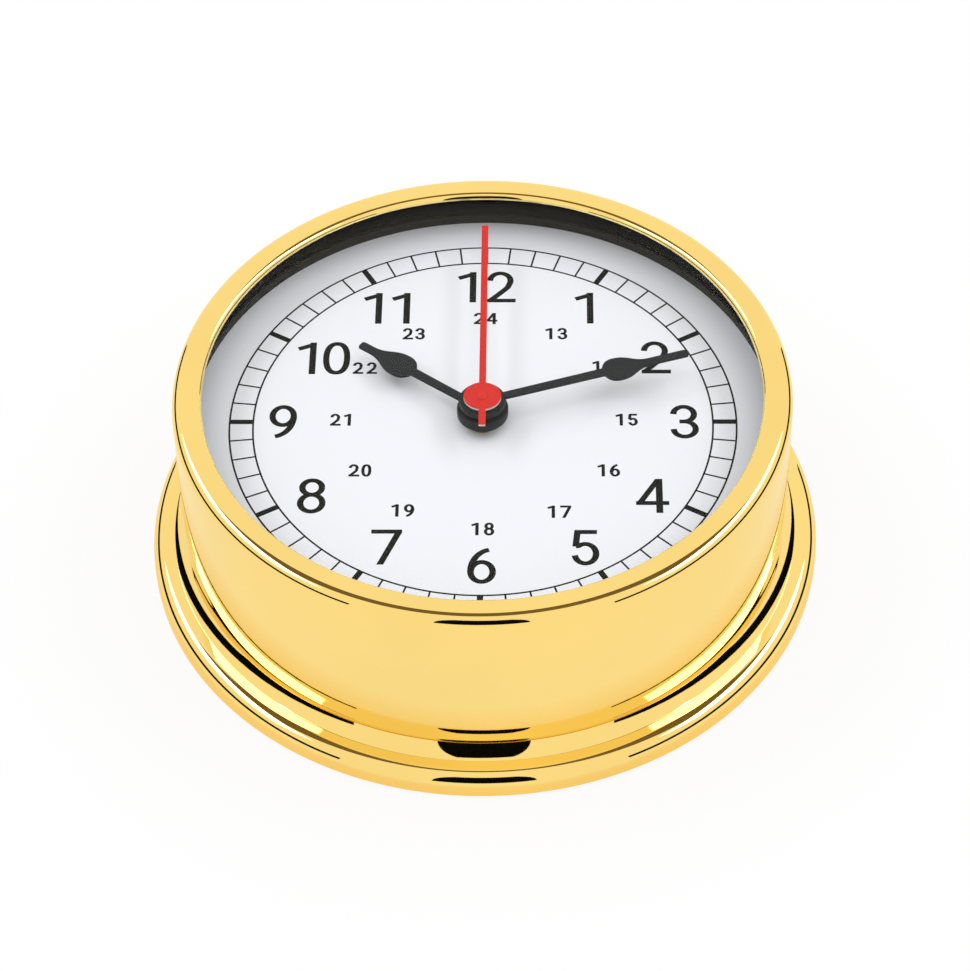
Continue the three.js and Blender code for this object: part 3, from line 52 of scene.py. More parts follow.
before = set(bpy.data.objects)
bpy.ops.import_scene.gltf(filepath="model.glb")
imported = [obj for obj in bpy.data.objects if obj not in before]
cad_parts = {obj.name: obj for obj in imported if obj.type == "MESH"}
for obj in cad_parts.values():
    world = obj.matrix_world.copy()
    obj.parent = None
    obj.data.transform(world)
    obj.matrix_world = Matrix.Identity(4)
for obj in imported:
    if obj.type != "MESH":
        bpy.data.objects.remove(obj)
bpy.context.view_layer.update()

MM = 0.001
RING_STEPS = 256
ROUNDING_STEPS = 12
SHARP_EDGE = math.radians(32)
HOURS = 12
MINUTES = 60
WHITE = (1.0, 1.0, 1.0, 1.0)
LOOKS = {}  # materials by name


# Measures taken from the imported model


def top(node):
    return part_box(node)[1].z / MM


def bottom(node):
    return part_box(node)[0].z / MM


def reach(node):
    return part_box(node)[1].x / MM


# Sizes and colours that a user can change


def length(name, description, millimetres):
    return FloatProperty(
        name=name,
        description=description,
        default=millimetres * MM,
        min=0,
        precision=5,
        unit="LENGTH",
    )


def rotation(name, description, degrees):
    return FloatProperty(
        name=name, description=description, default=math.radians(degrees), unit="ROTATION"
    )


def light(name, description, value):
    return FloatProperty(name=name, description=description, default=value, min=0)


def linear(value):
    share = value / 255
    return share / 12.92 if share <= 0.04045 else ((share + 0.055) / 1.055) ** 2.4


def colour(name, description, *shown):
    """A colour property, from the 0 to 255 values that the finish shows in plain light."""
    return FloatVectorProperty(
        name=name,
        description=description,
        default=[linear(value) for value in shown],
        min=0,
        max=1,
        subtype="COLOR",
    )


class MarineClockCase(bpy.types.PropertyGroup):
    drum_radius: length("Drum radius", "Outside of the drum", reach("case_drum"))
    drum_wall: length("Drum wall", "Thickness of the drum's sheet", 1.2)
    front_round: length("Front round", "Rolled edge between drum and front face", 1.9)
    opening_radius: length("Opening", "Radius of the opening in the front face", 48.8)
    opening_round: length("Opening round", "Rolled edge of the opening", 1.05)
    lip: length("Lip", "Thickness of the front face", 1.1)
    base_radius: length("Base radius", "Outside of the base ring", reach("base_flange"))
    rim_round: length("Rim round", "Rounding on top of the rim", 2.6)
    slope_round: length("Slope round", "Hollow of the slope between rim and drum", 8.2)
    slope_bend: length("Slope bend", "Rounding at the foot of that slope", 0.3)
    collar_top: length("Collar top", "Height of the collar inside the drum", top("base_flange"))


class MarineClockDial(bpy.types.PropertyGroup):
    hour_number_height: length("Hour numbers", "Height of the numbers 1 to 12", 7.95)
    day_number_height: length("Afternoon numbers", "Height of the numbers 13 to 24", 2.85)
    outer_track: length("Outer track", "Radius of the outer minute ring", 44.54)
    inner_track: length("Inner track", "Radius of the inner minute ring", 40.4)
    line_width: length("Line width", "Width of rings and minute marks", 0.32)
    hour_mark_width: length("Hour mark width", "Width of the marks at the hours", 1.05)
    ink_height: length("Ink height", "How far the print stands up", 0.02)


class MarineClockHands(bpy.types.PropertyGroup):
    hour_length: length("Hour hand", "Axis to tip of the hour hand", 27.1)
    minute_length: length("Minute hand", "Axis to tip of the minute hand", 38.0)
    second_length: length("Second hand", "Axis to tip of the second hand", 43.6)
    second_tail: length("Second hand tail", "Axis to the end of the tail", 7.0)
    second_width: length("Second hand width", "Width of the second hand", 1.2)
    second_disc: length("Second hand disc", "Radius of the disc at its middle", 3.3)
    stem_width: length("Stem width", "Width of the hour and minute hands' stems", 1.6)
    bulb_width: length("Bulb width", "Widest place of their blades", 5.3)
    blade: length("Blade thickness", "Sheet that the hands are cut from", 0.4)


class MarineClockFinish(bpy.types.PropertyGroup):
    brass: colour("Brass", "Polished and lacquered brass", 252, 231, 161)
    dial: colour("Dial", "Painted dial", 243, 246, 252)
    ink: colour("Ink", "Print on the dial", 24, 26, 27)
    hand: colour("Hands", "Paint of the hour and minute hands", 37, 42, 47)
    second_hand: colour("Second hand", "Paint of the second hand", 214, 44, 41)
    # The second hand's pale edge colour is partly its unpainted metal and partly a painted
    # highlight along the edge
    bare_edge: colour("Bare edge", "Unpainted edge of the second hand", 232, 224, 216)


class MarineClockStudio(bpy.types.PropertyGroup):
    elevation: rotation("Camera elevation", "Angle of the camera's view below the horizon", 47.17)
    turn: rotation("Camera turn", "Turn of the camera round the clock", 1.42)
    roll: rotation("Camera roll", "Turn of the camera about its line of sight", -1.06)
    lens: FloatProperty(
        name="Lens", description="Focal length of the camera", default=125.28, unit="CAMERA"
    )
    sky: light("Sky", "Light of the white room on matt surfaces", 0.47)
    softbox: light("Softbox", "Brightness of the softbox overhead", 0.9)
    side_softbox: light("Side softboxes", "Brightness of the softboxes at the sides", 2.5)


GROUPS = {
    "clock_case": MarineClockCase,
    "clock_dial": MarineClockDial,
    "clock_hands": MarineClockHands,
    "clock_finish": MarineClockFinish,
    "clock_studio": MarineClockStudio,
}


def in_millimetres(group):
    """The lengths of a property group in millimetres, under their own names."""
    return SimpleNamespace(**{name: getattr(group, name) / MM for name in group.__annotations__})


# Outlines


def arc(x, y, radius, start, end, steps, rise=None):
    """Points round (x, y) between two angles in degrees; rise makes an ellipse of it."""
    angles = [math.radians(start + (end - start) * step / steps) for step in range(steps + 1)]
    rise = radius if rise is None else rise
    return [Vector((x + radius * math.cos(a), y + rise * math.sin(a))) for a in angles]


def bent(points, steps):
    """A Bezier curve's points after its first."""
    return interpolate_bezier(*[Vector(point) for point in points], steps)[1:]


def rectangle(left, low, right, high):
    return [(left, low), (right, low), (right, high), (left, high)]


def mirrored(right):
    """A closed outline from its right half."""
    return right + [Vector((-point.x, point.y)) for point in reversed(right)]


def eased(corners, steps=5):
    """A closed outline from (x, y, radius) corners, each rounded to its radius."""
    outline = []
    for index, (x, y, radius) in enumerate(corners):
        corner = Vector((x, y))
        if not radius:
            outline.append(corner)
            continue
        before = (Vector(corners[index - 1][:2]) - corner).normalized()
        after = (Vector(corners[(index + 1) % len(corners)][:2]) - corner).normalized()
        half = before.angle(after) / 2
        centre = corner + (before + after).normalized() * radius / math.sin(half)
        first = corner + before * radius / math.tan(half) - centre
        last = corner + after * radius / math.tan(half) - centre
        for step in range(steps + 1):
            outline.append(centre + first.lerp(last, step / steps).normalized() * radius)
    return outline


def counterclockwise(outline):
    area = sum(a.x * b.y - b.x * a.y for a, b in zip(outline, outline[1:] + outline[:1]))
    return outline if area > 0 else outline[::-1]


def filled(shapes):
    """Points and triangles of the area that the shapes cover together."""
    points, faces = [], []
    for shape in shapes:
        shape = counterclockwise([Vector(point) for point in shape])
        faces.append(list(range(len(points), len(points) + len(shape))))
        points += shape
    points, _, triangles, _, _, sources = delaunay_2d_cdt(points, [], faces, 0, 1e-5)
    return points, [triangle for triangle, source in zip(triangles, sources) if source]


# Meshes


def turned(bm, outline, steps=RING_STEPS):
    """A closed outline of (radius, height) points, turned about the clock's axis."""
    angles = [2 * math.pi * step / steps for step in range(steps)]
    rings = []
    for radius, height in outline:
        if radius < 1e-6:
            rings.append([bm.verts.new((0, 0, height * MM))] * steps)
            continue
        around = [(radius * math.cos(a) * MM, radius * math.sin(a) * MM) for a in angles]
        rings.append([bm.verts.new((x, y, height * MM)) for x, y in around])
    for lower, upper in zip(rings, rings[1:] + rings[:1]):
        for step in range(steps):
            after = (step + 1) % steps
            corners = dict.fromkeys((lower[step], lower[after], upper[after], upper[step]))
            if len(corners) > 2:
                bm.faces.new(corners)
    return bm


def base_and_lid(bm, points, low, high):
    """The same points as vertices at two heights."""
    return [[bm.verts.new((x * MM, y * MM, z * MM)) for x, y in points] for z in (low, high)]


def raised(bm, outline, low, high, softened=0.0):
    """A flat outline given thickness, with its upper edge softened."""
    base, lid = base_and_lid(bm, outline, low, high)
    bm.faces.new(base[::-1])
    face = bm.faces.new(lid)
    for index in range(len(base)):
        after = (index + 1) % len(base)
        bm.faces.new((base[index], base[after], lid[after], lid[index]))
    if softened:
        bmesh.ops.bevel(
            bm, geom=list(face.edges), offset=softened * MM, segments=2, profile=0.5, affect="EDGES"
        )
    return bm


def raised_print(bm, shapes, low, high):
    """Shapes joined into one flat area and given thickness."""
    points, triangles = filled(shapes)
    base, lid = base_and_lid(bm, points, low, high)
    sides = {}
    for triangle in triangles:
        bm.faces.new([base[index] for index in reversed(triangle)])
        bm.faces.new([lid[index] for index in triangle])
        for start, end in zip(triangle, triangle[1:] + triangle[:1]):
            sides[start, end] = True
    for start, end in sides:
        if (end, start) not in sides:
            bm.faces.new((base[start], base[end], lid[end], lid[start]))


def wall_block(bm, inner, outer, start, end, low, high, steps=8):
    """A stretch of a ring's wall between two angles in degrees."""
    outline = arc(0, 0, outer, start, end, steps) + arc(0, 0, inner, end, start, steps)
    raised(bm, outline, low, high)


def swung(bm, angle, axis):
    """Turns the whole mesh about one of the axes."""
    turn = Matrix.Rotation(angle, 3, axis)
    bmesh.ops.rotate(bm, verts=bm.verts, cent=(0, 0, 0), matrix=turn)


def second_look(bm, belongs):
    """Gives a piece's second finish to the faces that belong, by radius, height and slope."""
    bmesh.ops.recalc_face_normals(bm, faces=bm.faces)
    for face in bm.faces:
        middle = face.calc_center_median()
        radius = math.hypot(middle.x, middle.y) / MM
        face.material_index = int(belongs(radius, middle.z / MM, face.normal.z))


def linked(name, data):
    """A new object in the scene."""
    made = bpy.data.objects.new(name, data)
    bpy.context.scene.collection.objects.link(made)
    return made


def mesh_from(bm, name, *looks):
    mesh = bpy.data.meshes.new(name)
    bm.to_mesh(mesh)
    bm.free()
    for look in looks:
        mesh.materials.append(look)
    return mesh


def smooth(mesh):
    mesh.polygons.foreach_set("use_smooth", [True] * len(mesh.polygons))
    mesh.set_sharp_from_angle(angle=SHARP_EDGE)


def piece(name, bm, looks, body, slot, *replaced):
    """Makes the mesh an object that rides on a body and stands for its nodes."""
    bmesh.ops.recalc_face_normals(bm, faces=bm.faces)
    mesh = mesh_from(bm, name, *[LOOKS[look] for look in looks])
    smooth(mesh)
    made = linked(name, mesh)
    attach(made, body)
    if replaced:
        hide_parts(*replaced)
    return made


def cut_away(target, bm):
    """Cuts the closed forms of a mesh out of an object."""
    bmesh.ops.recalc_face_normals(bm, faces=bm.faces)
    mesh = mesh_from(bm, "cutter")
    cutter = linked("cutter", mesh)
    cut = target.modifiers.new("cut", "BOOLEAN")
    cut.operation = "DIFFERENCE"
    cut.solver = "EXACT"
    cut.use_self = True
    cut.object = cutter
    depsgraph = bpy.context.evaluated_depsgraph_get()
    result = bpy.data.meshes.new_from_object(target.evaluated_get(depsgraph))
    target.modifiers.clear()
    old = target.data
    target.data = result
    result.name = old.name
    bpy.data.meshes.remove(old)
    bpy.data.objects.remove(cutter)
    bpy.data.meshes.remove(mesh)


# Materials


class Value:
    """A node's output that takes arithmetic: an expression adds its Math nodes."""

    def __init__(self, look, socket):
        self.look = look
        self.socket = socket

    def __add__(self, other):
        return self.look.math("ADD", self, other)

    def __sub__(self, other):
        return self.look.math("SUBTRACT", self, other)

    def __rsub__(self, other):
        return self.look.math("SUBTRACT", other, self)

    def __mul__(self, other):
        return self.look.math("MULTIPLY", self, other)

    def __gt__(self, other):
        return self.look.math("GREATER_THAN", self, other)

    def __lt__(self, other):
        return self.look.math("LESS_THAN", self, other)

    __radd__ = __add__
    __rmul__ = __mul__


class Look:
    """The node tree of one material, or of the world."""

    def __init__(self, owner):
        owner.use_nodes = True
        self.owner = owner
        self.tree = owner.node_tree
        self.tree.nodes.clear()

    @classmethod
    def named(cls, name):
        LOOKS[name] = bpy.data.materials.new(name)
        return cls(LOOKS[name])

    def add(self, kind, settings=None, inputs=None, output=0):
        """Adds a node: its type, its settings, the values or links of its sockets."""
        node = self.tree.nodes.new(kind)
        for name, setting in (settings or {}).items():
            setattr(node, name, setting)
        for name, value in (inputs or {}).items():
            if isinstance(value, Value):
                self.tree.links.new(value.socket, node.inputs[name])
            else:
                node.inputs[name].default_value = value
        return Value(self, node.outputs[output]) if node.outputs else None

    def math(self, operation, *values):
        return self.add("ShaderNodeMath", {"operation": operation}, dict(enumerate(values)))

    def vector(self, operation, inputs, output=0):
        return self.add("ShaderNodeVectorMath", {"operation": operation}, inputs, output)

    def ray(self, kind):
        """1 for rays of a kind, such as Camera or Glossy."""
        return self.add("ShaderNodeLightPath", output=f"Is {kind} Ray")

    def place(self):
        """The place on the clock, in metres."""
        return self.add("ShaderNodeTexCoord", output="Object")

    def axes(self):
        """The place on the clock as separate x, y and z, in millimetres."""
        scaled = self.vector("SCALE", {0: self.place(), "Scale": 1 / MM})
        parts = self.add("ShaderNodeSeparateXYZ", inputs={0: scaled})
        return [Value(self, output) for output in parts.socket.node.outputs]

    def join(self, x, y, z):
        return self.add("ShaderNodeCombineXYZ", inputs={0: x, 1: y, 2: z})

    def radius(self, x, y):
        """Distance from the clock's axis."""
        return self.vector("LENGTH", {0: self.join(x, y, 0.0)}, "Value")

    def noise(self, scale, detail=2.0, place=None):
        inputs = {"Vector": place or self.place(), "Scale": scale, "Detail": detail}
        return self.add("ShaderNodeTexNoise", inputs=inputs)

    def mixed(self, factor, first, second):
        """A colour between two, by a factor."""
        return self.add("ShaderNodeMix", {"data_type": "RGBA"}, {0: factor, 6: first, 7: second}, 2)

    def varied(self, factor, shade, least, most):
        """A colour between two shares of itself, by a factor."""
        return self.mixed(factor, rgba(shade, least), rgba(shade, most))

    def clamped(self, value, low, high, out_low=0.0, out_high=1.0, curve="LINEAR"):
        """A value's range laid onto another range."""
        limits = {"Value": value, 1: low, 2: high, 3: out_low, 4: out_high}
        return self.add("ShaderNodeMapRange", {"interpolation_type": curve}, limits)

    def spread(self, noise, low, high):
        """The range that a noise mostly keeps to, laid onto another range."""
        return self.clamped(noise, 0.3, 0.7, low, high)

    def bump(self, height, strength, millimetres):
        inputs = {"Height": height, "Strength": strength, "Distance": millimetres * MM}
        return self.add("ShaderNodeBump", inputs=inputs)

    def surface(self, **inputs):
        """The surface's own shader; a socket's name is written with _ for its blanks."""
        named = {name.replace("_", " "): value for name, value in inputs.items()}
        return self.add("ShaderNodeBsdfPrincipled", inputs=named)

    def blend(self, factor, first, second):
        """One shader laid over another, by a factor."""
        return self.add("ShaderNodeMixShader", inputs={0: factor, 1: first, 2: second})

    def done(self, shader, output="ShaderNodeOutputMaterial"):
        self.add(output, inputs={"Surface": shader})
        return self.owner

    def finished(self, **inputs):
        return self.done(self.surface(**inputs))

    def grained(self, shade, grain, rough, relief, **inputs):
        """A surface whose grain shows in its roughness, a range, and its relief."""
        rough, relief = self.spread(grain, *rough), self.bump(grain, *relief)
        return self.finished(Base_Color=shade, Roughness=rough, Normal=relief, **inputs)


def tone(*shown):
    """A colour, from the 0 to 255 values that the finish shows in plain light."""
    return (*(linear(value) for value in shown), 1.0)


def rgba(shade, share=1.0):
    return (*(min(1.0, value * share) for value in shade[:3]), 1.0)


def spun_lines(look, fineness):
    """Fine lines that run round the clock's axis, as a polishing wheel leaves them."""
    x, y, z = look.axes()
    around = look.math("ARCTAN2", y, x)
    place = look.join(look.radius(x, y) * fineness, z * fineness, around * 1.5)
    return look.noise(1.0, 3.0, place)


def polished_brass(brass):
    look = Look.named("mirror_brass")
    lines = spun_lines(look, 4.0)
    cloud = look.noise(30.0, 3.0)
    return look.finished(
        Base_Color=look.varied(look.clamped(cloud, 0.35, 0.65), brass, 0.975, 1.015),
        Metallic=1.0,
        Roughness=look.spread(lines, 0.012, 0.03) + look.clamped(cloud, 0.5, 0.8, 0.0, 0.012),
        Normal=look.bump(lines, 0.03, 0.02),
    )


def plain_brass(name, brass, share, rough):
    """Brass as it comes from the lathe, for the inside and the wheels."""
    look = Look.named(name)
    shade = look.varied(look.noise(120.0, 4.0), brass, share * 0.82, share)
    lines = spun_lines(look, 6.0)
    return look.grained(shade, lines, (rough - 0.06, rough + 0.08), (0.25, 0.05), Metallic=1.0)


def clear_glass():
    """Glass that lets the studio's light through to the dial without a shadow."""
    look = Look.named("coated_glass")
    glass = look.surface(
        Base_Color=WHITE,
        Roughness=look.clamped(look.noise(45.0), 0.55, 0.85, 0.0, 0.012),
        IOR=1.15,
        Transmission_Weight=1.0,
    )
    light_only = look.math("MAXIMUM", look.ray("Shadow"), look.ray("Diffuse"))
    return look.done(look.blend(light_only, glass, look.add("ShaderNodeBsdfTransparent")))


def moulded(name, colour, rough, grain=0.25, scale=900.0, wear=0.12, specular=0.5):
    """Moulded plastic, rubber or foam: a little uneven in tone, with a fine grain."""
    look = Look.named(name)
    shade = look.varied(look.noise(60.0, 3.0), colour, 1 - wear, 1 + wear)
    rough = (rough - 0.05, rough + 0.07)
    relief = (grain, 0.04)
    return look.grained(shade, look.noise(scale), rough, relief, Specular_IOR_Level=specular)


def painted(name, colour, rough, specular=0.2):
    """Paint on sheet metal, with a faint uneven film."""
    look = Look.named(name)
    shade = look.varied(look.noise(240.0, 3.0), colour, 0.97, 1.03)
    rough = (rough - 0.04, rough + 0.06)
    relief = (0.05, 0.02)
    return look.grained(shade, look.noise(1800.0), rough, relief, Specular_IOR_Level=specular)


def dial_paint(colour):
    """White paint in front, bare aluminium at the back."""
    look = Look.named("dial_paint")
    x, y, z = look.axes()
    in_front = z > (bottom("dial") + top("dial")) / 2
    white = look.varied(look.noise(90.0, 3.0), colour, 0.985, 1.0)
    shade = look.mixed(in_front, tone(176, 178, 181), white)
    metal = 0.9 - 0.9 * in_front
    return look.grained(shade, look.noise(2200.0), (0.42, 0.52), (0.04, 0.02), Metallic=metal)


def sheet_steel(name, colour, rough=0.28):
    """Rolled steel with streaks that run one way."""
    look = Look.named(name)
    shade = look.varied(look.noise(80.0, 3.0), colour, 0.86, 1.05)
    along = look.vector("MULTIPLY", {0: look.place(), 1: (300.0, 2600.0, 300.0)})
    streak = look.noise(1.0, place=along)
    return look.grained(shade, streak, (rough - 0.08, rough + 0.1), (0.12, 0.02), Metallic=1.0)


def wound_copper():
    """Enamelled wire wound in close turns along the coil, with painted shade darkening its colour
    in the grooves between turns.
    """
    look = Look.named("copper_wire")
    x, y, z = look.axes()
    turns = look.math("SINE", x * 52.0)
    # Painted shade: the wire's colour is dark in the grooves between turns and full copper on their
    # tops
    painted_turn_shade = look.clamped(turns, -1.0, 1.0)
    return look.finished(
        Base_Color=look.mixed(painted_turn_shade, tone(120, 58, 26), tone(214, 128, 66)),
        Metallic=1.0,
        Roughness=look.clamped(turns, -1.0, 1.0, 0.42, 0.26),
        Normal=look.bump(turns, 0.5, 0.06),
    )


def board_laminate():
    """Glass laminate with a faint weave and darker tracks."""
    look = Look.named("board_laminate")
    weave = look.add("ShaderNodeTexChecker", inputs={0: look.place(), "Scale": 2400.0}, output=1)
    blots = look.noise(260.0, 1.0)
    laminate = look.mixed(weave * 0.25, tone(52, 104, 58), tone(70, 126, 74))
    return look.finished(
        Base_Color=look.mixed(blots > 0.56, laminate, tone(36, 82, 48)),
        Roughness=look.spread(blots, 0.38, 0.5),
        Normal=look.bump(weave, 0.08, 0.02),
    )


def battery_wrap():
    """Printed sleeve in two plain tones with a pale line between them."""
    look = Look.named("battery_print")
    x, y, z = look.axes()
    line_start, line_end = -10.5, -9.6
    scuff = look.noise(420.0, 4.0)
    wrap = look.mixed(x < line_start, tone(44, 52, 62), tone(176, 128, 70))
    return look.finished(
        Base_Color=look.mixed((x > line_start) * (x < line_end), wrap, tone(214, 214, 210)),
        Metallic=0.55,
        Roughness=look.clamped(scuff, 0.4, 0.75, 0.2, 0.42),
        Coat_Weight=look.clamped(scuff, 0.4, 0.8, 0.5, 0.2),
        Normal=look.bump(scuff, 0.06, 0.02),
    )


def finishes(context):
    """Makes the materials of all pieces, once."""
    if "mirror_brass" in LOOKS:
        return
    tones = context.scene.clock_finish
    polished_brass(tones.brass)
    plain_brass("inner_brass", tones.brass, 0.72, 0.32)
    plain_brass("wheel_brass", tones.brass, 0.78, 0.3)
    clear_glass()
    dial_paint(tones.dial)
    wound_copper()
    board_laminate()
    battery_wrap()
    moulded("seal_black", tone(18, 18, 19), 0.6, scale=1400.0)
    moulded("spacer_black", tone(12, 11, 11), 0.12, 0.02, 500.0, specular=0.15)
    moulded("spacer_foot", tone(36, 37, 37), 0.5, 0.1, 1200.0, specular=0.2)
    moulded("case_plastic", tone(27, 28, 30), 0.46, grain=0.35, scale=1500.0)
    moulded("chip_black", tone(20, 20, 22), 0.35)
    moulded("foam", tone(58, 62, 66), 0.85, grain=0.9, scale=700.0, wear=0.3)
    moulded("nylon", tone(231, 228, 216), 0.42, grain=0.1)
    painted("hand_black", tones.hand, 0.42, 0.1)
    painted("hand_edge", rgba(tones.hand, 0.6), 0.36, 0.1)
    painted("second_hand_red", tones.second_hand, 0.38)
    # Pale edge of the second hand: bare metal with a painted highlight along the edge
    painted("bare_edge", tones.bare_edge, 0.32)
    painted("rivet_red", rgba(tones.second_hand, 1.05), 0.3)
    painted("dial_ink", tones.ink, 0.5, 0.05)
    sheet_steel("spring_sheet", tone(186, 188, 191))
    sheet_steel("battery_steel", tone(206, 207, 209), 0.22)
    sheet_steel("core_iron", tone(150, 153, 157), 0.36)


def dress(node, look):
    """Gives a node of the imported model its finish."""
    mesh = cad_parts[node].data
    mesh.materials.clear()
    mesh.materials.append(LOOKS[look])


# Case

LUG_ANGLES = (30, 150, 270)
LUG_HALF_WIDTH, LUG_FOOT, LUG_TOP = 1.8, 7.85, 9.65


class MARINECLOCK_OT_base_ring(bpy.types.Operator):
    """Turns the brass base ring with its collar, bayonet slots and screw holes"""

    bl_idname = "marine_clock.base_ring"
    bl_label = "Base ring"

    def execute(self, context):
        finishes(context)
        case = in_millimetres(context.scene.clock_case)
        play, wall = 0.2, 1.8
        collar = case.drum_radius - case.drum_wall - play
        bm = turned(bmesh.new(), self.outline(case, collar, collar - wall))
        ring = piece("base_ring", bm, ["mirror_brass"], "base", "polished_brass", "base_flange")
        cut_away(ring, self.openings(case, collar, collar - wall))
        smooth(ring.data)
        return {"FINISHED"}

    def outline(self, case, collar, bore):
        """Floor with its undercut, rim, hollow slope up to the drum, and collar."""
        seam = bottom("case_drum") - 0.05
        steep, gentle = 59, 38
        slope = self.hollow(case.drum_radius, seam, case.slope_round, steep, gentle)
        slope += self.hollow(*slope[-1], case.slope_bend, gentle, 0)[1:]
        floor_bore, floor = 42, 2
        groove_start, groove_end, groove = 52.5, 57.6, 1.8
        outside = [
            (bore, floor, 0), (floor_bore, floor, 0.2), (floor_bore, 0, 0.2),
            (groove_start, 0, 0.15), (groove_start, groove, 0),
            (groove_end, groove, 0), (groove_end, 0, 0.15), (case.base_radius, 0, 0.4),
            (case.base_radius, slope[-1].y, case.rim_round), (*slope[-1], 0),
        ]
        inside = [
            (case.drum_radius, seam, 0), (collar, seam, 0), (collar, case.collar_top, 0.25),
            (bore, case.collar_top, 0.25), (bore, floor, 0),
        ]
        return eased(outside, ROUNDING_STEPS)[:-1] + slope[::-1] + eased(inside)[1:-1]

    def hollow(self, x, y, radius, start, end):
        """A hollow curve outwards from (x, y), between two slopes in degrees."""
        lean = math.radians(start)
        centre_x, centre_y = x + radius * math.sin(lean), y + radius * math.cos(lean)
        return arc(centre_x, centre_y, radius, -90 - start, -90 - end, 10)

    def openings(self, case, collar, bore):
        """Bayonet slots in the collar and screw holes in the floor."""
        play, unlock, entry_foot = 0.25, 25, 8.7
        inner, outer = bore - 1, collar + 1
        half = math.degrees((LUG_HALF_WIDTH + play) / bore)
        bm = bmesh.new()
        for lug in LUG_ANGLES:
            entry, end = lug + unlock - half, lug + unlock + half
            low, high = LUG_FOOT - play, LUG_TOP + play
            wall_block(bm, inner, outer, lug - half, end, low, high, steps=16)
            wall_block(bm, inner, outer, entry, end, entry_foot, case.collar_top + 1)
        screw_circle, screw_hole = 46, 2.1
        for screw in map(math.radians, (90, 210, 330)):
            x, y = screw_circle * math.cos(screw), screw_circle * math.sin(screw)
            raised(bm, arc(x, y, screw_hole, 0, 360, 40)[:-1], -1, 3)
        return bm


class MARINECLOCK_OT_drum(bpy.types.Operator):
    """Turns the drum with its rolled front edge, ring groove and bayonet lugs"""

    bl_idname = "marine_clock.drum"
    bl_label = "Drum"

    def execute(self, context):
        finishes(context)
        case = in_millimetres(context.scene.clock_case)
        foot, front = bottom("case_drum"), top("case_drum")
        under_lip = front - case.lip
        bore = case.drum_radius - case.drum_wall
        groove = bore + 0.4
        groove_top, groove_foot = top("retaining_ring") + 0.05, bottom("retaining_ring") - 0.2
        outline = [
            (bore, foot, 0.1), (case.drum_radius, foot, 0.2),
            (case.drum_radius, front, case.front_round),
            (case.opening_radius, front, case.opening_round),
            (case.opening_radius, under_lip, 0.1), (bore, under_lip, 0), (bore, groove_top, 0),
            (groove, groove_top, 0), (groove, groove_foot, 0), (bore, groove_foot, 0),
        ]
        bm = turned(bmesh.new(), eased(outline, ROUNDING_STEPS))
        half = math.degrees(LUG_HALF_WIDTH / bore)
        lug_end, lug_root = bore - 1.7, bore + 0.6
        for lug in LUG_ANGLES:
            wall_block(bm, lug_end, lug_root, lug - half, lug + half, LUG_FOOT, LUG_TOP)
        second_look(bm, lambda radius, z, _: radius < groove + 0.05 and z < under_lip + 0.01)
        looks = ["mirror_brass", "inner_brass"]
        piece("drum_shell", bm, looks, "drum", "polished_brass", "case_drum")
        return {"FINISHED"}


class MARINECLOCK_OT_glazing(bpy.types.Operator):
    """Makes the seal and the black spacer behind the opening, and finishes glass and dial"""

    bl_idname = "marine_clock.glazing"
    bl_label = "Glass, seal and spacer"

    def execute(self, context):
        finishes(context)
        outer = reach("glass_gasket")
        bore = outer - 3.3
        foot, head = bottom("glass_gasket"), top("glass_gasket")
        seal = [(bore, foot, 0.1), (outer, foot, 0), (outer, head, 0), (bore, head, 0.1)]
        bm = turned(bmesh.new(), eased(seal, steps=4))
        piece("seal_ring", bm, ["seal_black"], "drum", "seal_rubber", "glass_gasket")

        foot, head = bottom("dial_spacer"), top("dial_spacer")
        foot_bore, bore, step = outer - 1.3, outer - 0.8, foot + 1.8
        spacer = [
            (foot_bore, foot, 0), (outer, foot, 0), (outer, head, 0),
            (bore, head, 0.15), (bore, step, 0.1), (foot_bore, step, 0.2),
        ]
        bm = turned(bmesh.new(), eased(spacer, steps=4))
        second_look(bm, lambda radius, z, _: z < step + 0.05)
        looks = ["spacer_black", "spacer_foot"]
        piece("spacer_ring", bm, looks, "drum", "black_plastic", "dial_spacer")
        dress("glass", "coated_glass")
        dress("dial", "dial_paint")
        return {"FINISHED"}


# Dial print


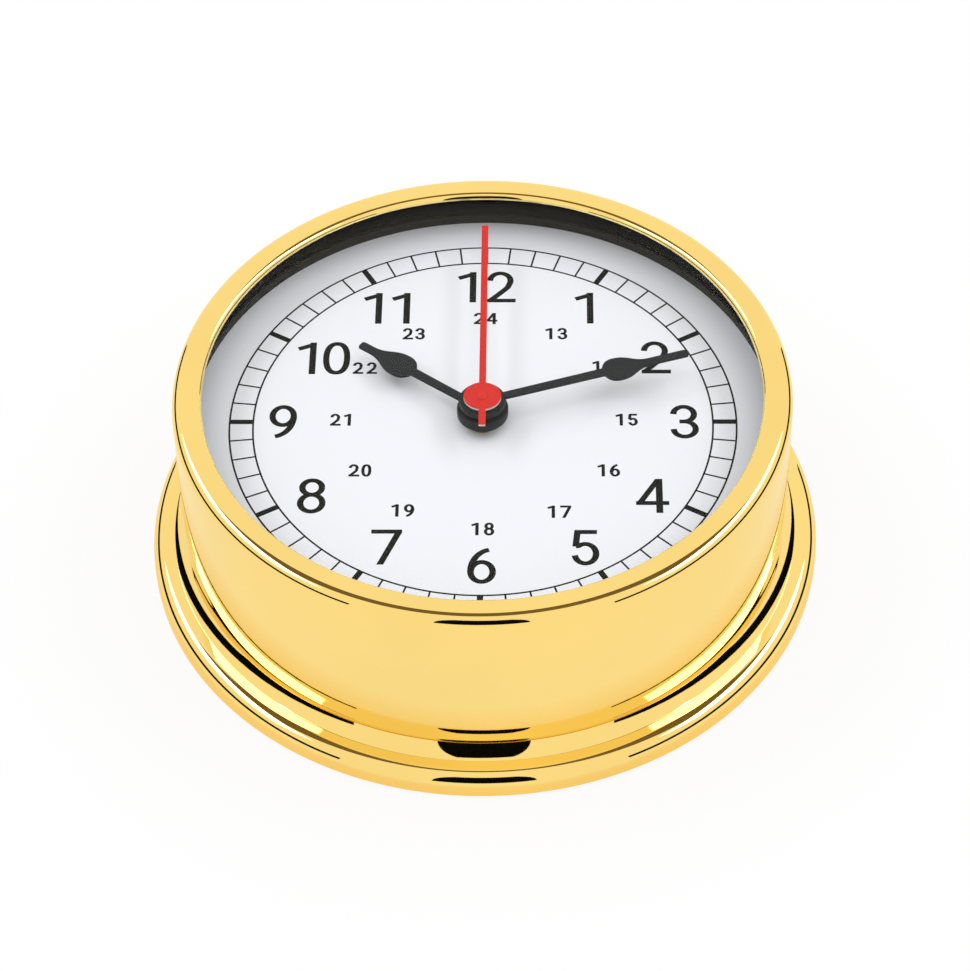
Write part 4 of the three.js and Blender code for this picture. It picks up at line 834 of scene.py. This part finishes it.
class Pen:
    """Draws digits 1 high with a pen that is broader sideways than up and down."""

    low, high = -0.015, 1.015  # round digits reach past the straight ones
    widths = (0.61, 0.4, 0.67, 0.62, 0.716, 0.6, 0.61, 0.66, 0.62, 0.61)
    room_after_1, room_before_1_or_2 = 0.225, 0.075

    def __init__(self, weight):
        self.across = 0.133 * weight
        self.along = 0.109 * weight

    def line(self, points):
        """Pieces along a line, each of them four-cornered."""
        points = [Vector(point) for point in points]
        sides = []
        for index, point in enumerate(points):
            ahead = points[min(index + 1, len(points) - 1)] - points[max(index - 1, 0)]
            ahead.normalize()
            offset = Vector((-ahead.y * self.across / 2, ahead.x * self.along / 2))
            sides.append((point + offset, point - offset))
        return [[a[1], b[1], b[0], a[0]] for a, b in zip(sides, sides[1:])]

    def slant(self, foot_x, foot, head_x, head):
        """A straight stroke with level ends."""
        half = self.across * 0.525
        lower = [(foot_x - half, foot), (foot_x + half, foot)]
        return [lower + [(head_x + half, head), (head_x - half, head)]]

    def level(self, left, right, low):
        return [rectangle(left, low, right, low + self.along)]

    def loop(self, x, low, high, half_width, power=1.0, steps=40):
        """A closed bowl; power under 1 makes it squarer."""
        ring = []
        middle, half_height = (low + high) / 2, (high - low - self.along) / 2
        half_width -= self.across / 2
        for step in range(steps + 1):
            around = 2 * math.pi * step / steps
            side, rise = math.cos(around), math.sin(around)
            side = math.copysign(abs(side) ** power, side)
            rise = math.copysign(abs(rise) ** power, rise)
            ring.append((x + half_width * side, middle + half_height * rise))
        return self.line(ring)

    def bow(self, x, low, high, half_width, start, end):
        """Points of an open bowl between two angles."""
        middle, half_height = (low + high) / 2, (high - low - self.along) / 2
        return arc(x, middle, half_width - self.across / 2, start, end, 18, half_height)

    def draw_0(self):
        return self.loop(0.305, self.low, self.high, 0.305, 0.86)

    def draw_1(self):
        return self.slant(0.33, 0, 0.33, 1) + self.line([(0.0, 0.795), (0.33, 0.928)])

    def draw_2(self):
        head = self.bow(0.315, 0.41, self.high, 0.305, 180, -28)
        neck = [(0.49, 0.5), (0.43, 0.425), (0.345, 0.33), (0.09, 0.06)]
        return self.line(head + neck) + self.level(0.015, 0.67, 0)

    def draw_3(self):
        waist = 0.505
        upper = self.bow(0.3, waist - self.along / 2, self.high, 0.298, 180, -90)
        lower = self.bow(0.312, self.low, waist + self.along / 2, 0.312, 90, -180)
        return self.line([*upper, (0.2, waist)]) + self.line([(0.2, waist), *lower])

    def draw_4(self):
        stem = self.slant(0.508, 0, 0.508, 1)
        return stem + self.level(0.0, 0.716, 0.231) + self.slant(0.075, 0.28, 0.5, 1)

    def draw_5(self):
        bowl = self.bow(0.305, self.low, 0.657, 0.3, 128, -170)
        stem = self.line([(0.14, 0.95), (0.1, 0.525)])
        return stem + self.level(0.075, 0.56, 1 - self.along) + self.line([(0.1, 0.525), *bowl])

    def draw_6(self):
        back = arc(0.52, 0.34, 0.453, 98, 182, 14, 0.61)
        return self.loop(0.305, self.low, 0.655, 0.305) + self.line(back)

    def draw_7(self):
        return self.level(0, 0.66, 1 - self.along) + self.slant(0.21, 0, 0.59, 0.93)

    def draw_8(self):
        waist = 0.535
        upper = self.loop(0.31, waist - self.along / 2, self.high, 0.283)
        return upper + self.loop(0.31, self.low, waist + self.along / 2, 0.31)

    def draw_9(self):
        """A 6 turned over."""
        return [[(self.widths[9] - x, 1 - y) for x, y in shape] for shape in self.draw_6()]

    def number(self, value, height, x, y, tracking):
        """The shapes of a number whose middle is at (x, y)."""
        shapes, cursor, before = [], 0.0, None
        for digit in map(int, str(value)):
            if before is not None:
                cursor += tracking + self.room_after_1 * (before == 1)
                cursor += self.room_before_1_or_2 * (digit in (1, 2))
            drawn = getattr(self, f"draw_{digit}")()
            shapes += [[(cursor + px, py) for px, py in shape] for shape in drawn]
            cursor += self.widths[digit]
            before = digit
        left, base = x - cursor * height / 2, y - height / 2
        return [[(left + px * height, base + py * height) for px, py in shape] for shape in shapes]


class MARINECLOCK_OT_dial_print(bpy.types.Operator):
    """Prints the hour numbers, the afternoon numbers and the minute track on the dial"""

    bl_idname = "marine_clock.dial_print"
    bl_label = "Dial print"

    hour_places = (
        (18.1, 28.6), (30.7, 15.9), (35.4, 0.0), (29.4, -17.7), (17.7, -29.6), (0.2, -33.7),
        (-16.1, -29.5), (-29.3, -17.7), (-35.2, 0.0), (-28.6, 15.8), (-17.7, 28.6), (0.4, 34.1),
    )
    day_places = (
        (13.0, 22.0), (21.5, 13.6), (25.3, 0.5), (22.0, -11.7), (13.4, -21.4), (0.3, -25.4),
        (-13.5, -21.1), (-21.2, -11.7), (-25.1, 0.5), (-21.2, 13.3), (-12.7, 22.0), (0.2, 25.9),
    )

    def execute(self, context):
        finishes(context)
        dial = in_millimetres(context.scene.clock_dial)
        face = top("dial")
        ink = face + dial.ink_height
        hours = (1, self.hour_places, Pen(1.05), dial.hour_number_height, -0.06)
        afternoon = (1 + HOURS, self.day_places, Pen(1.42), dial.day_number_height, 0.12)
        for name, row in (("hour_numbers", hours), ("afternoon_numbers", afternoon)):
            first, places, pen, height, tracking = row
            bm = bmesh.new()
            for hour, (x, y) in enumerate(places, first):
                raised_print(bm, pen.number(hour, height, x, y, tracking), face, ink)
            piece(name, bm, ["dial_ink"], "drum", "dial_white")
        bm = bmesh.new()
        self.minute_track(bm, dial, face, ink)
        piece("minute_track", bm, ["dial_ink"], "drum", "dial_white")
        return {"FINISHED"}

    def minute_track(self, bm, dial, face, ink):
        """Two rings with the minute marks between them, which reach just into the rings."""
        half, overlap = dial.line_width / 2, 0.01
        for radius in (dial.outer_track, dial.inner_track):
            turned(bm, rectangle(radius - half, face, radius + half, ink))
        start, end = dial.inner_track + half - overlap, dial.outer_track - half + overlap
        for minute in range(MINUTES):
            at_hour = minute % (MINUTES // HOURS) == 0
            width = dial.hour_mark_width if at_hour else dial.line_width
            turn = Matrix.Rotation(-2 * math.pi * minute / MINUTES, 2)
            mark = rectangle(-width / 2, start, width / 2, end)
            raised(bm, [turn @ Vector(point) for point in mark], face, ink)


# Hands


def spade(hands, hand):
    """Outline of a hand that points to twelve: stem, bulb with a round shoulder, blunt tip."""
    stem, bulb = hands.stem_width / 2, hands.bulb_width / 2
    hidden_stem, tip_round = 1.2, 0.35
    start, widest, neck = hand.bulb_start, hand.widest, hand.neck
    shoulder, flare = (widest - start) * 0.25, (neck - widest) * 0.45
    rise = [(stem, start), (bulb, start + shoulder), (bulb, widest - shoulder), (bulb, widest)]
    fall = [(bulb, widest), (bulb, widest + flare), (stem, neck - flare), (stem, neck)]
    right = [Vector((stem, hand.boss - hidden_stem)), Vector((stem, start))]
    right += bent(rise, 14) + bent(fall, 18)
    right += arc(stem - tip_round, hand.length - tip_round, tip_round, 0, 90, 5)
    return mirrored(right)


class MARINECLOCK_OT_spade_hands(bpy.types.Operator):
    """Cuts the hour and the minute hand from sheet and sets them on their bosses"""

    bl_idname = "marine_clock.spade_hands"
    bl_label = "Hour and minute hands"

    def execute(self, context):
        finishes(context)
        hands = in_millimetres(context.scene.clock_hands)
        face = top("dial")
        hour = SimpleNamespace(
            node="hour_hand", body="hour_group", angle=306, length=hands.hour_length,
            bulb_start=15.2, widest=18.2, neck=24.6, bore=2.11, boss=4.5,
            foot=face + 2.0, head=face + 3.8, blade_top=face + 3.5,
        )
        minute = SimpleNamespace(
            node="minute_hand", body="minute_group", angle=72, length=hands.minute_length,
            bulb_start=22.3, widest=25.0, neck=30.8, bore=1.46, boss=4.05,
            foot=face + 4.6, head=face + 5.8, blade_top=face + 5.5,
        )
        for hand in (hour, minute):
            self.make(hand, hands)
        return {"FINISHED"}

    def make(self, hand, hands):
        """Blade and boss of one hand; the blade's cut edge has a finish of its own."""
        blade_foot, softened = hand.blade_top - hands.blade, 0.09
        bm = raised(bmesh.new(), spade(hands, hand), blade_foot, hand.blade_top, softened)
        swung(bm, -math.radians(hand.angle), "Z")
        boss = [
            (hand.bore, hand.foot, 0.08), (hand.boss, hand.foot, 0.25),
            (hand.boss, hand.head, 0.25), (hand.bore, hand.head, 0.08),
        ]
        turned(bm, eased(boss, steps=4), steps=72)
        beyond, middle = hand.boss + 0.1, hand.blade_top - hands.blade / 2
        second_look(bm, lambda radius, z, up: radius > beyond and z > middle and up < 0.95)
        looks = ["hand_black", "hand_edge"]
        piece(f"{hand.node}_blade", bm, looks, hand.body, "hand_paint", hand.node)


class MARINECLOCK_OT_second_hand(bpy.types.Operator):
    """Cuts the red second hand with its disc and tail, and sets its domed rivet"""

    bl_idname = "marine_clock.second_hand"
    bl_label = "Second hand"

    def execute(self, context):
        finishes(context)
        hands = in_millimetres(context.scene.clock_hands)
        high = top("second_hand")
        low = high - hands.blade
        bm = raised(bmesh.new(), self.outline(hands), low, high)
        # Sides and back take the pale edge colour, which is bare metal with a painted highlight
        # along the edge
        second_look(bm, lambda radius, z, up: up < 0.5)
        looks = ["second_hand_red", "bare_edge"]
        plate = piece("second_hand_plate", bm, looks, "second_group", "red_paint", "second_hand")
        hole = 0.56
        drill = [(0, low - 1), (hole, low - 1), (hole, high + 1), (0, high + 1)]
        cut_away(plate, turned(bmesh.new(), drill, steps=40))

        stud, rim, edge = 0.5, 0.95, 0.04
        seat, foot = high + 0.05, bottom("second_hand_rivet")
        dome = top("second_hand_rivet") - seat - edge
        rivet = [(0, foot), (stud, foot), (stud, seat), (rim, seat)]
        rivet += arc(0, seat + edge, rim, 0, 90, 10, dome)
        bm = turned(bmesh.new(), rivet, steps=48)
        slot = "red_paint"
        piece("second_hand_dome", bm, ["rivet_red"], "second_group", slot, "second_hand_rivet")
        return {"FINISHED"}

    def outline(self, hands):
        """Tail, disc and blade of the hand, which points to twelve."""
        half, disc = hands.second_width / 2, hands.second_disc
        meet = math.degrees(math.asin(half / disc))
        tail, tip = 0.15, 0.2
        right = arc(half - tail, tail - hands.second_tail, tail, -90, 0, 4)
        right += arc(0, 0, disc, meet - 90, 90 - meet, 48)
        right += arc(half - tip, hands.second_length - tip, tip, 0, 90, 4)
        return mirrored(right)


# Movement


class MARINECLOCK_OT_battery(bpy.types.Operator):
    """Turns the battery with its sleeve, crimped ends and contact nub"""

    bl_idname = "marine_clock.battery"
    bl_label = "Battery"

    def execute(self, context):
        finishes(context)
        low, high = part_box("battery")
        half, radius = (high.x - low.x) / 2 / MM, (high.z - low.z) / 2 / MM
        bm = turned(bmesh.new(), self.outline(half, radius), steps=96)
        second_look(bm, lambda distance, z, _: distance < radius - 0.5)
        swung(bm, -math.pi / 2, "Y")
        bmesh.ops.translate(bm, verts=bm.verts, vec=(low + high) / 2)
        looks = ["battery_print", "battery_steel"]
        piece("battery_sleeve", bm, looks, "battery_cell", "battery_wrap", "battery")
        return {"FINISHED"}

    def outline(self, half, radius):
        """Flat end, sleeve crimped over both ends, and nub, from axis to axis."""
        flat_end = ((0, 0), (4.2, 0), (4.4, 0.25), (5.6, 0.25), (5.9, 0.05))
        nub_end = ((5.9, -0.05), (5.6, -0.3), (3.1, -0.3), (2.85, 0))
        shoulder, nub, nub_round = half - 1.3, 2.35, 0.35
        crimp, rise = 0.7, 0.65
        points = [Vector((x, -half + z)) for x, z in flat_end]
        points += arc(radius - crimp, -half + crimp, crimp, -90, 0, 6, rise)
        points += arc(radius - crimp, shoulder - crimp, crimp, 0, 90, 6, rise)
        points += [Vector((x, shoulder + z)) for x, z in nub_end]
        return points + arc(nub, half - nub_round, nub_round, 0, 90, 5) + [Vector((0, half))]


class MARINECLOCK_OT_movement(bpy.types.Operator):
    """Finishes the movement's pieces and moulds the signs on its back"""

    bl_idname = "marine_clock.movement"
    bl_label = "Movement"

    dressed = {
        "spring_sheet": (
            "retaining_ring", "motor_screw_1", "motor_screw_2", "contact_positive",
            "contact_negative",
        ),
        "foam": ("mounting_pad",),
        "wheel_brass": ("centre_bush", "seconds_wheel", "centre_wheel", "cannon_pinion"),
        "case_plastic": ("movement_case", "movement_back"),
        "nylon": (
            "train_bridge", "coil_bobbin", "rotor", "intermediate_wheel", "third_wheel",
            "transfer_wheel", "hour_wheel", "setting_knob",
        ),
        "board_laminate": ("circuit_board",),
        "chip_black": ("driver_chip",),
        "battery_steel": ("quartz_crystal",),
        "core_iron": ("stator", "coil_core"),
        "copper_wire": ("coil_winding",),
    }

    def execute(self, context):
        finishes(context)
        for look, nodes in self.dressed.items():
            for node in nodes:
                dress(node, look)
        self.signs()
        return {"FINISHED"}

    def signs(self):
        """Plus, minus and a turning arrow round the knob, raised on the back face."""
        row, long, thin = -8.6, 1.5, 0.3
        plus_x, minus_x = -22, 22.5
        plus, minus = (
            [rectangle(x - long, row - thin, x + long, row + thin)] for x in (plus_x, minus_x)
        )
        plus.append(rectangle(plus_x - thin, row - long, plus_x + thin, row + long))
        low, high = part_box("setting_knob")
        knob = ((low + high) / 2 / MM).xy
        path = arc(*knob, 6.4, 70, 170, 24)
        line, head = 0.04, 0.19
        arrow = [
            [a.lerp(knob, line), b.lerp(knob, line), b.lerp(knob, -line), a.lerp(knob, -line)]
            for a, b in zip(path, path[1:])
        ]
        end = path[-1]
        arrow.append([end.lerp(knob, head), end.lerp(knob, -head), end - Vector((0.4, 2.0))])
        face = bottom("movement_back")
        bm = bmesh.new()
        for shapes in (plus, minus, arrow):
            raised_print(bm, shapes, face - 0.15, face)
        piece("movement_signs", bm, ["case_plastic"], "drum", "black_plastic")


# Studio, in metres


def stage_mesh(name, bm, look):
    made = linked(name, mesh_from(bm, name, look))
    return made


def seen_ray(look):
    """1 where a ray comes from the camera, a mirror or glass."""
    by_eye = look.math("MAXIMUM", look.ray("Camera"), look.ray("Glossy"))
    return look.math("MAXIMUM", by_eye, look.ray("Transmission"))


def room_tone(look):
    """White to the eye, and a little warm in what mirrors show of the room."""
    return look.mixed(look.ray("Glossy"), WHITE, (1.0, 0.88, 0.62, 1.0))


def white_room(scene, sky):
    """A world that is white where it is seen, and less bright on matt surfaces."""
    scene.world = bpy.data.worlds.new("white_room")
    look = Look(scene.world)
    seen = seen_ray(look)
    inputs = {"Color": room_tone(look), "Strength": seen + (1 - seen) * sky}
    look.done(look.add("ShaderNodeBackground", inputs=inputs), "ShaderNodeOutputWorld")


def floor():
    """Paper, white to the eye but for the clock's shadow; close to the clock it glows a painted
    warm reflection that only mirrors see.
    """
    look = Look.named("studio_floor")
    x, y, z = look.axes()
    radius = look.radius(x, y)
    edge, painted_warm_end, shadow_end = 61.0, 67.0, 100.0
    lit = look.clamped(radius, edge, shadow_end, 0.85, 1.0, "SMOOTHSTEP") * seen_ray(look)
    # Painted reflection: close to the clock, the floor's glow turns orange for mirror rays only
    warm = look.clamped(radius, edge, painted_warm_end, 1.0, 0.0) * look.ray("Glossy")
    shown = look.mixed(warm, room_tone(look), (1.0, 0.74, 0.34, 1.0))
    paper = look.add("ShaderNodeBsdfDiffuse", inputs={"Color": (0.9, 0.9, 0.9, 1.0)})
    glow = look.add("ShaderNodeEmission", inputs={"Color": shown})
    bm = bmesh.new()
    bmesh.ops.create_circle(bm, cap_ends=True, segments=96, radius=4.0)
    stage_mesh("studio_floor", bm, look.done(look.blend(lit, paper, glow)))


def card_paper(name, darkest, palest):
    look = Look.named(name)
    shade = look.mixed(look.noise(40.0), (*darkest, 1.0), (*palest, 1.0))
    return look.finished(Base_Color=shade, Roughness=1.0, Specular_IOR_Level=0.0)


def card(name, rows, paper):
    """A card through rows of points, which only mirrors see."""
    bm = bmesh.new()
    rows = [[bm.verts.new(point) for point in row] for row in rows]
    for low, high in zip(rows, rows[1:]):
        for index in range(len(low) - 1):
            bm.faces.new((low[index], low[index + 1], high[index + 1], high[index]))
    made = stage_mesh(name, bm, paper)
    for ray in ("camera", "diffuse", "transmission", "shadow"):
        setattr(made, f"visible_{ray}", False)


def cards():
    """Cards that give the brass its dark shapes: in front, low at the sides, overhead."""
    black = card_paper("black_card", (0.002, 0.002, 0.002), (0.006, 0.006, 0.006))
    rows, widest, pointed_at = [], 0.257, 50
    for elevation in range(2, 46, 2):
        half = widest * math.sqrt(1 - (elevation / pointed_at) ** 2)
        y, z = -math.cos(math.radians(elevation)), math.sin(math.radians(elevation))
        rows.append([(half, y, z), (-half, y, z)])
    card("front_card", rows, black)
    side_profile, spread = ((0.45, 0.001), (0.6, 0.002), (0.6, 0.14)), 50
    for name, side in (("left_card", -1), ("right_card", 1)):
        rows = [
            [(x, y, height) for x, y in arc(0, 0, radius * side, -spread, spread, 40, radius)]
            for radius, height in side_profile
        ]
        card(name, rows, black)
    brown = card_paper("brown_card", (0.29, 0.19, 0.08), (0.33, 0.22, 0.1))
    half, back, front, height = 1.2, 0.87, -0.13, 1.5
    card("overhead_card", [[(-half, y, height), (half, y, height)] for y in (back, front)], brown)


def softbox(name, place, width, height, brightness):
    """A lamp that faces the clock; brightness is how white it would look, whatever its size."""
    watts_for_white = 4
    lamp = bpy.data.lights.new(name, "AREA")
    lamp.shape = "RECTANGLE"
    lamp.size = width
    lamp.size_y = height
    lamp.energy = watts_for_white * width * height * brightness
    made = linked(name, lamp)
    made.location = place
    made.rotation_euler = Vector(place).to_track_quat("Z", "Y").to_euler()
    made.visible_camera = False
    return made


def camera(scene, studio):
    lens = bpy.data.cameras.new("camera")
    lens.sensor_width = 36
    lens.lens = studio.lens
    lens.clip_start = 0.01
    made = linked("camera", lens)
    turn = Matrix.Rotation(studio.turn, 4, "Z")
    tilt = Matrix.Rotation(math.pi / 2 - studio.elevation, 4, "X")
    roll = Matrix.Rotation(studio.roll, 4, "Z")
    place = Matrix.Translation(Vector((10.387, -411.88, 457.7)) * MM)
    made.matrix_world = place @ turn @ tilt @ roll
    scene.camera = made


class MARINECLOCK_OT_studio(bpy.types.Operator):
    """Sets up the white room: floor, cards that the brass mirrors, softboxes and camera"""

    bl_idname = "marine_clock.studio"
    bl_label = "Studio"

    def execute(self, context):
        scene = context.scene
        studio = scene.clock_studio
        scene.view_settings.view_transform = "Standard"
        white_room(scene, studio.sky)
        floor()
        cards()
        over = softbox("softbox_over", (0.05, -0.2, 1.0), 0.9, 0.9, studio.softbox)
        over.visible_glossy = False
        for name, x in (("softbox_left", -0.75), ("softbox_right", 0.75)):
            softbox(name, (x, 0.15, 0.85), 1.1, 0.3, studio.side_softbox)
        camera(scene, studio)
        return {"FINISHED"}


class MARINECLOCK_PT_panel(bpy.types.Panel):
    """Lists the clock's pieces and their sizes"""

    bl_idname = "MARINECLOCK_PT_panel"
    bl_label = "Marine clock"
    bl_space_type = "VIEW_3D"
    bl_region_type = "UI"
    bl_category = "Marine clock"

    def draw(self, context):
        for name, group in GROUPS.items():
            box = self.layout.box()
            values = getattr(context.scene, name)
            for value in group.__annotations__:
                box.prop(values, value)
        for operator in OPERATORS:
            self.layout.operator(operator.bl_idname)


OPERATORS = (
    MARINECLOCK_OT_studio,
    MARINECLOCK_OT_base_ring,
    MARINECLOCK_OT_drum,
    MARINECLOCK_OT_glazing,
    MARINECLOCK_OT_dial_print,
    MARINECLOCK_OT_spade_hands,
    MARINECLOCK_OT_second_hand,
    MARINECLOCK_OT_battery,
    MARINECLOCK_OT_movement,
)
CLASSES = (*GROUPS.values(), *OPERATORS, MARINECLOCK_PT_panel)


def register():
    for added in CLASSES:
        bpy.utils.register_class(added)
    for name, group in GROUPS.items():
        setattr(bpy.types.Scene, name, PointerProperty(type=group))


def unregister():
    for name in GROUPS:
        delattr(bpy.types.Scene, name)
    for added in reversed(CLASSES):
        bpy.utils.unregister_class(added)


def main():
    register()
    for operator in OPERATORS:
        name = operator.bl_idname.split(".")[1]
        if getattr(bpy.ops.marine_clock, name)() != {"FINISHED"}:
            raise RuntimeError(f"{operator.bl_label} was not finished")


if __name__ == "__main__":
    main()
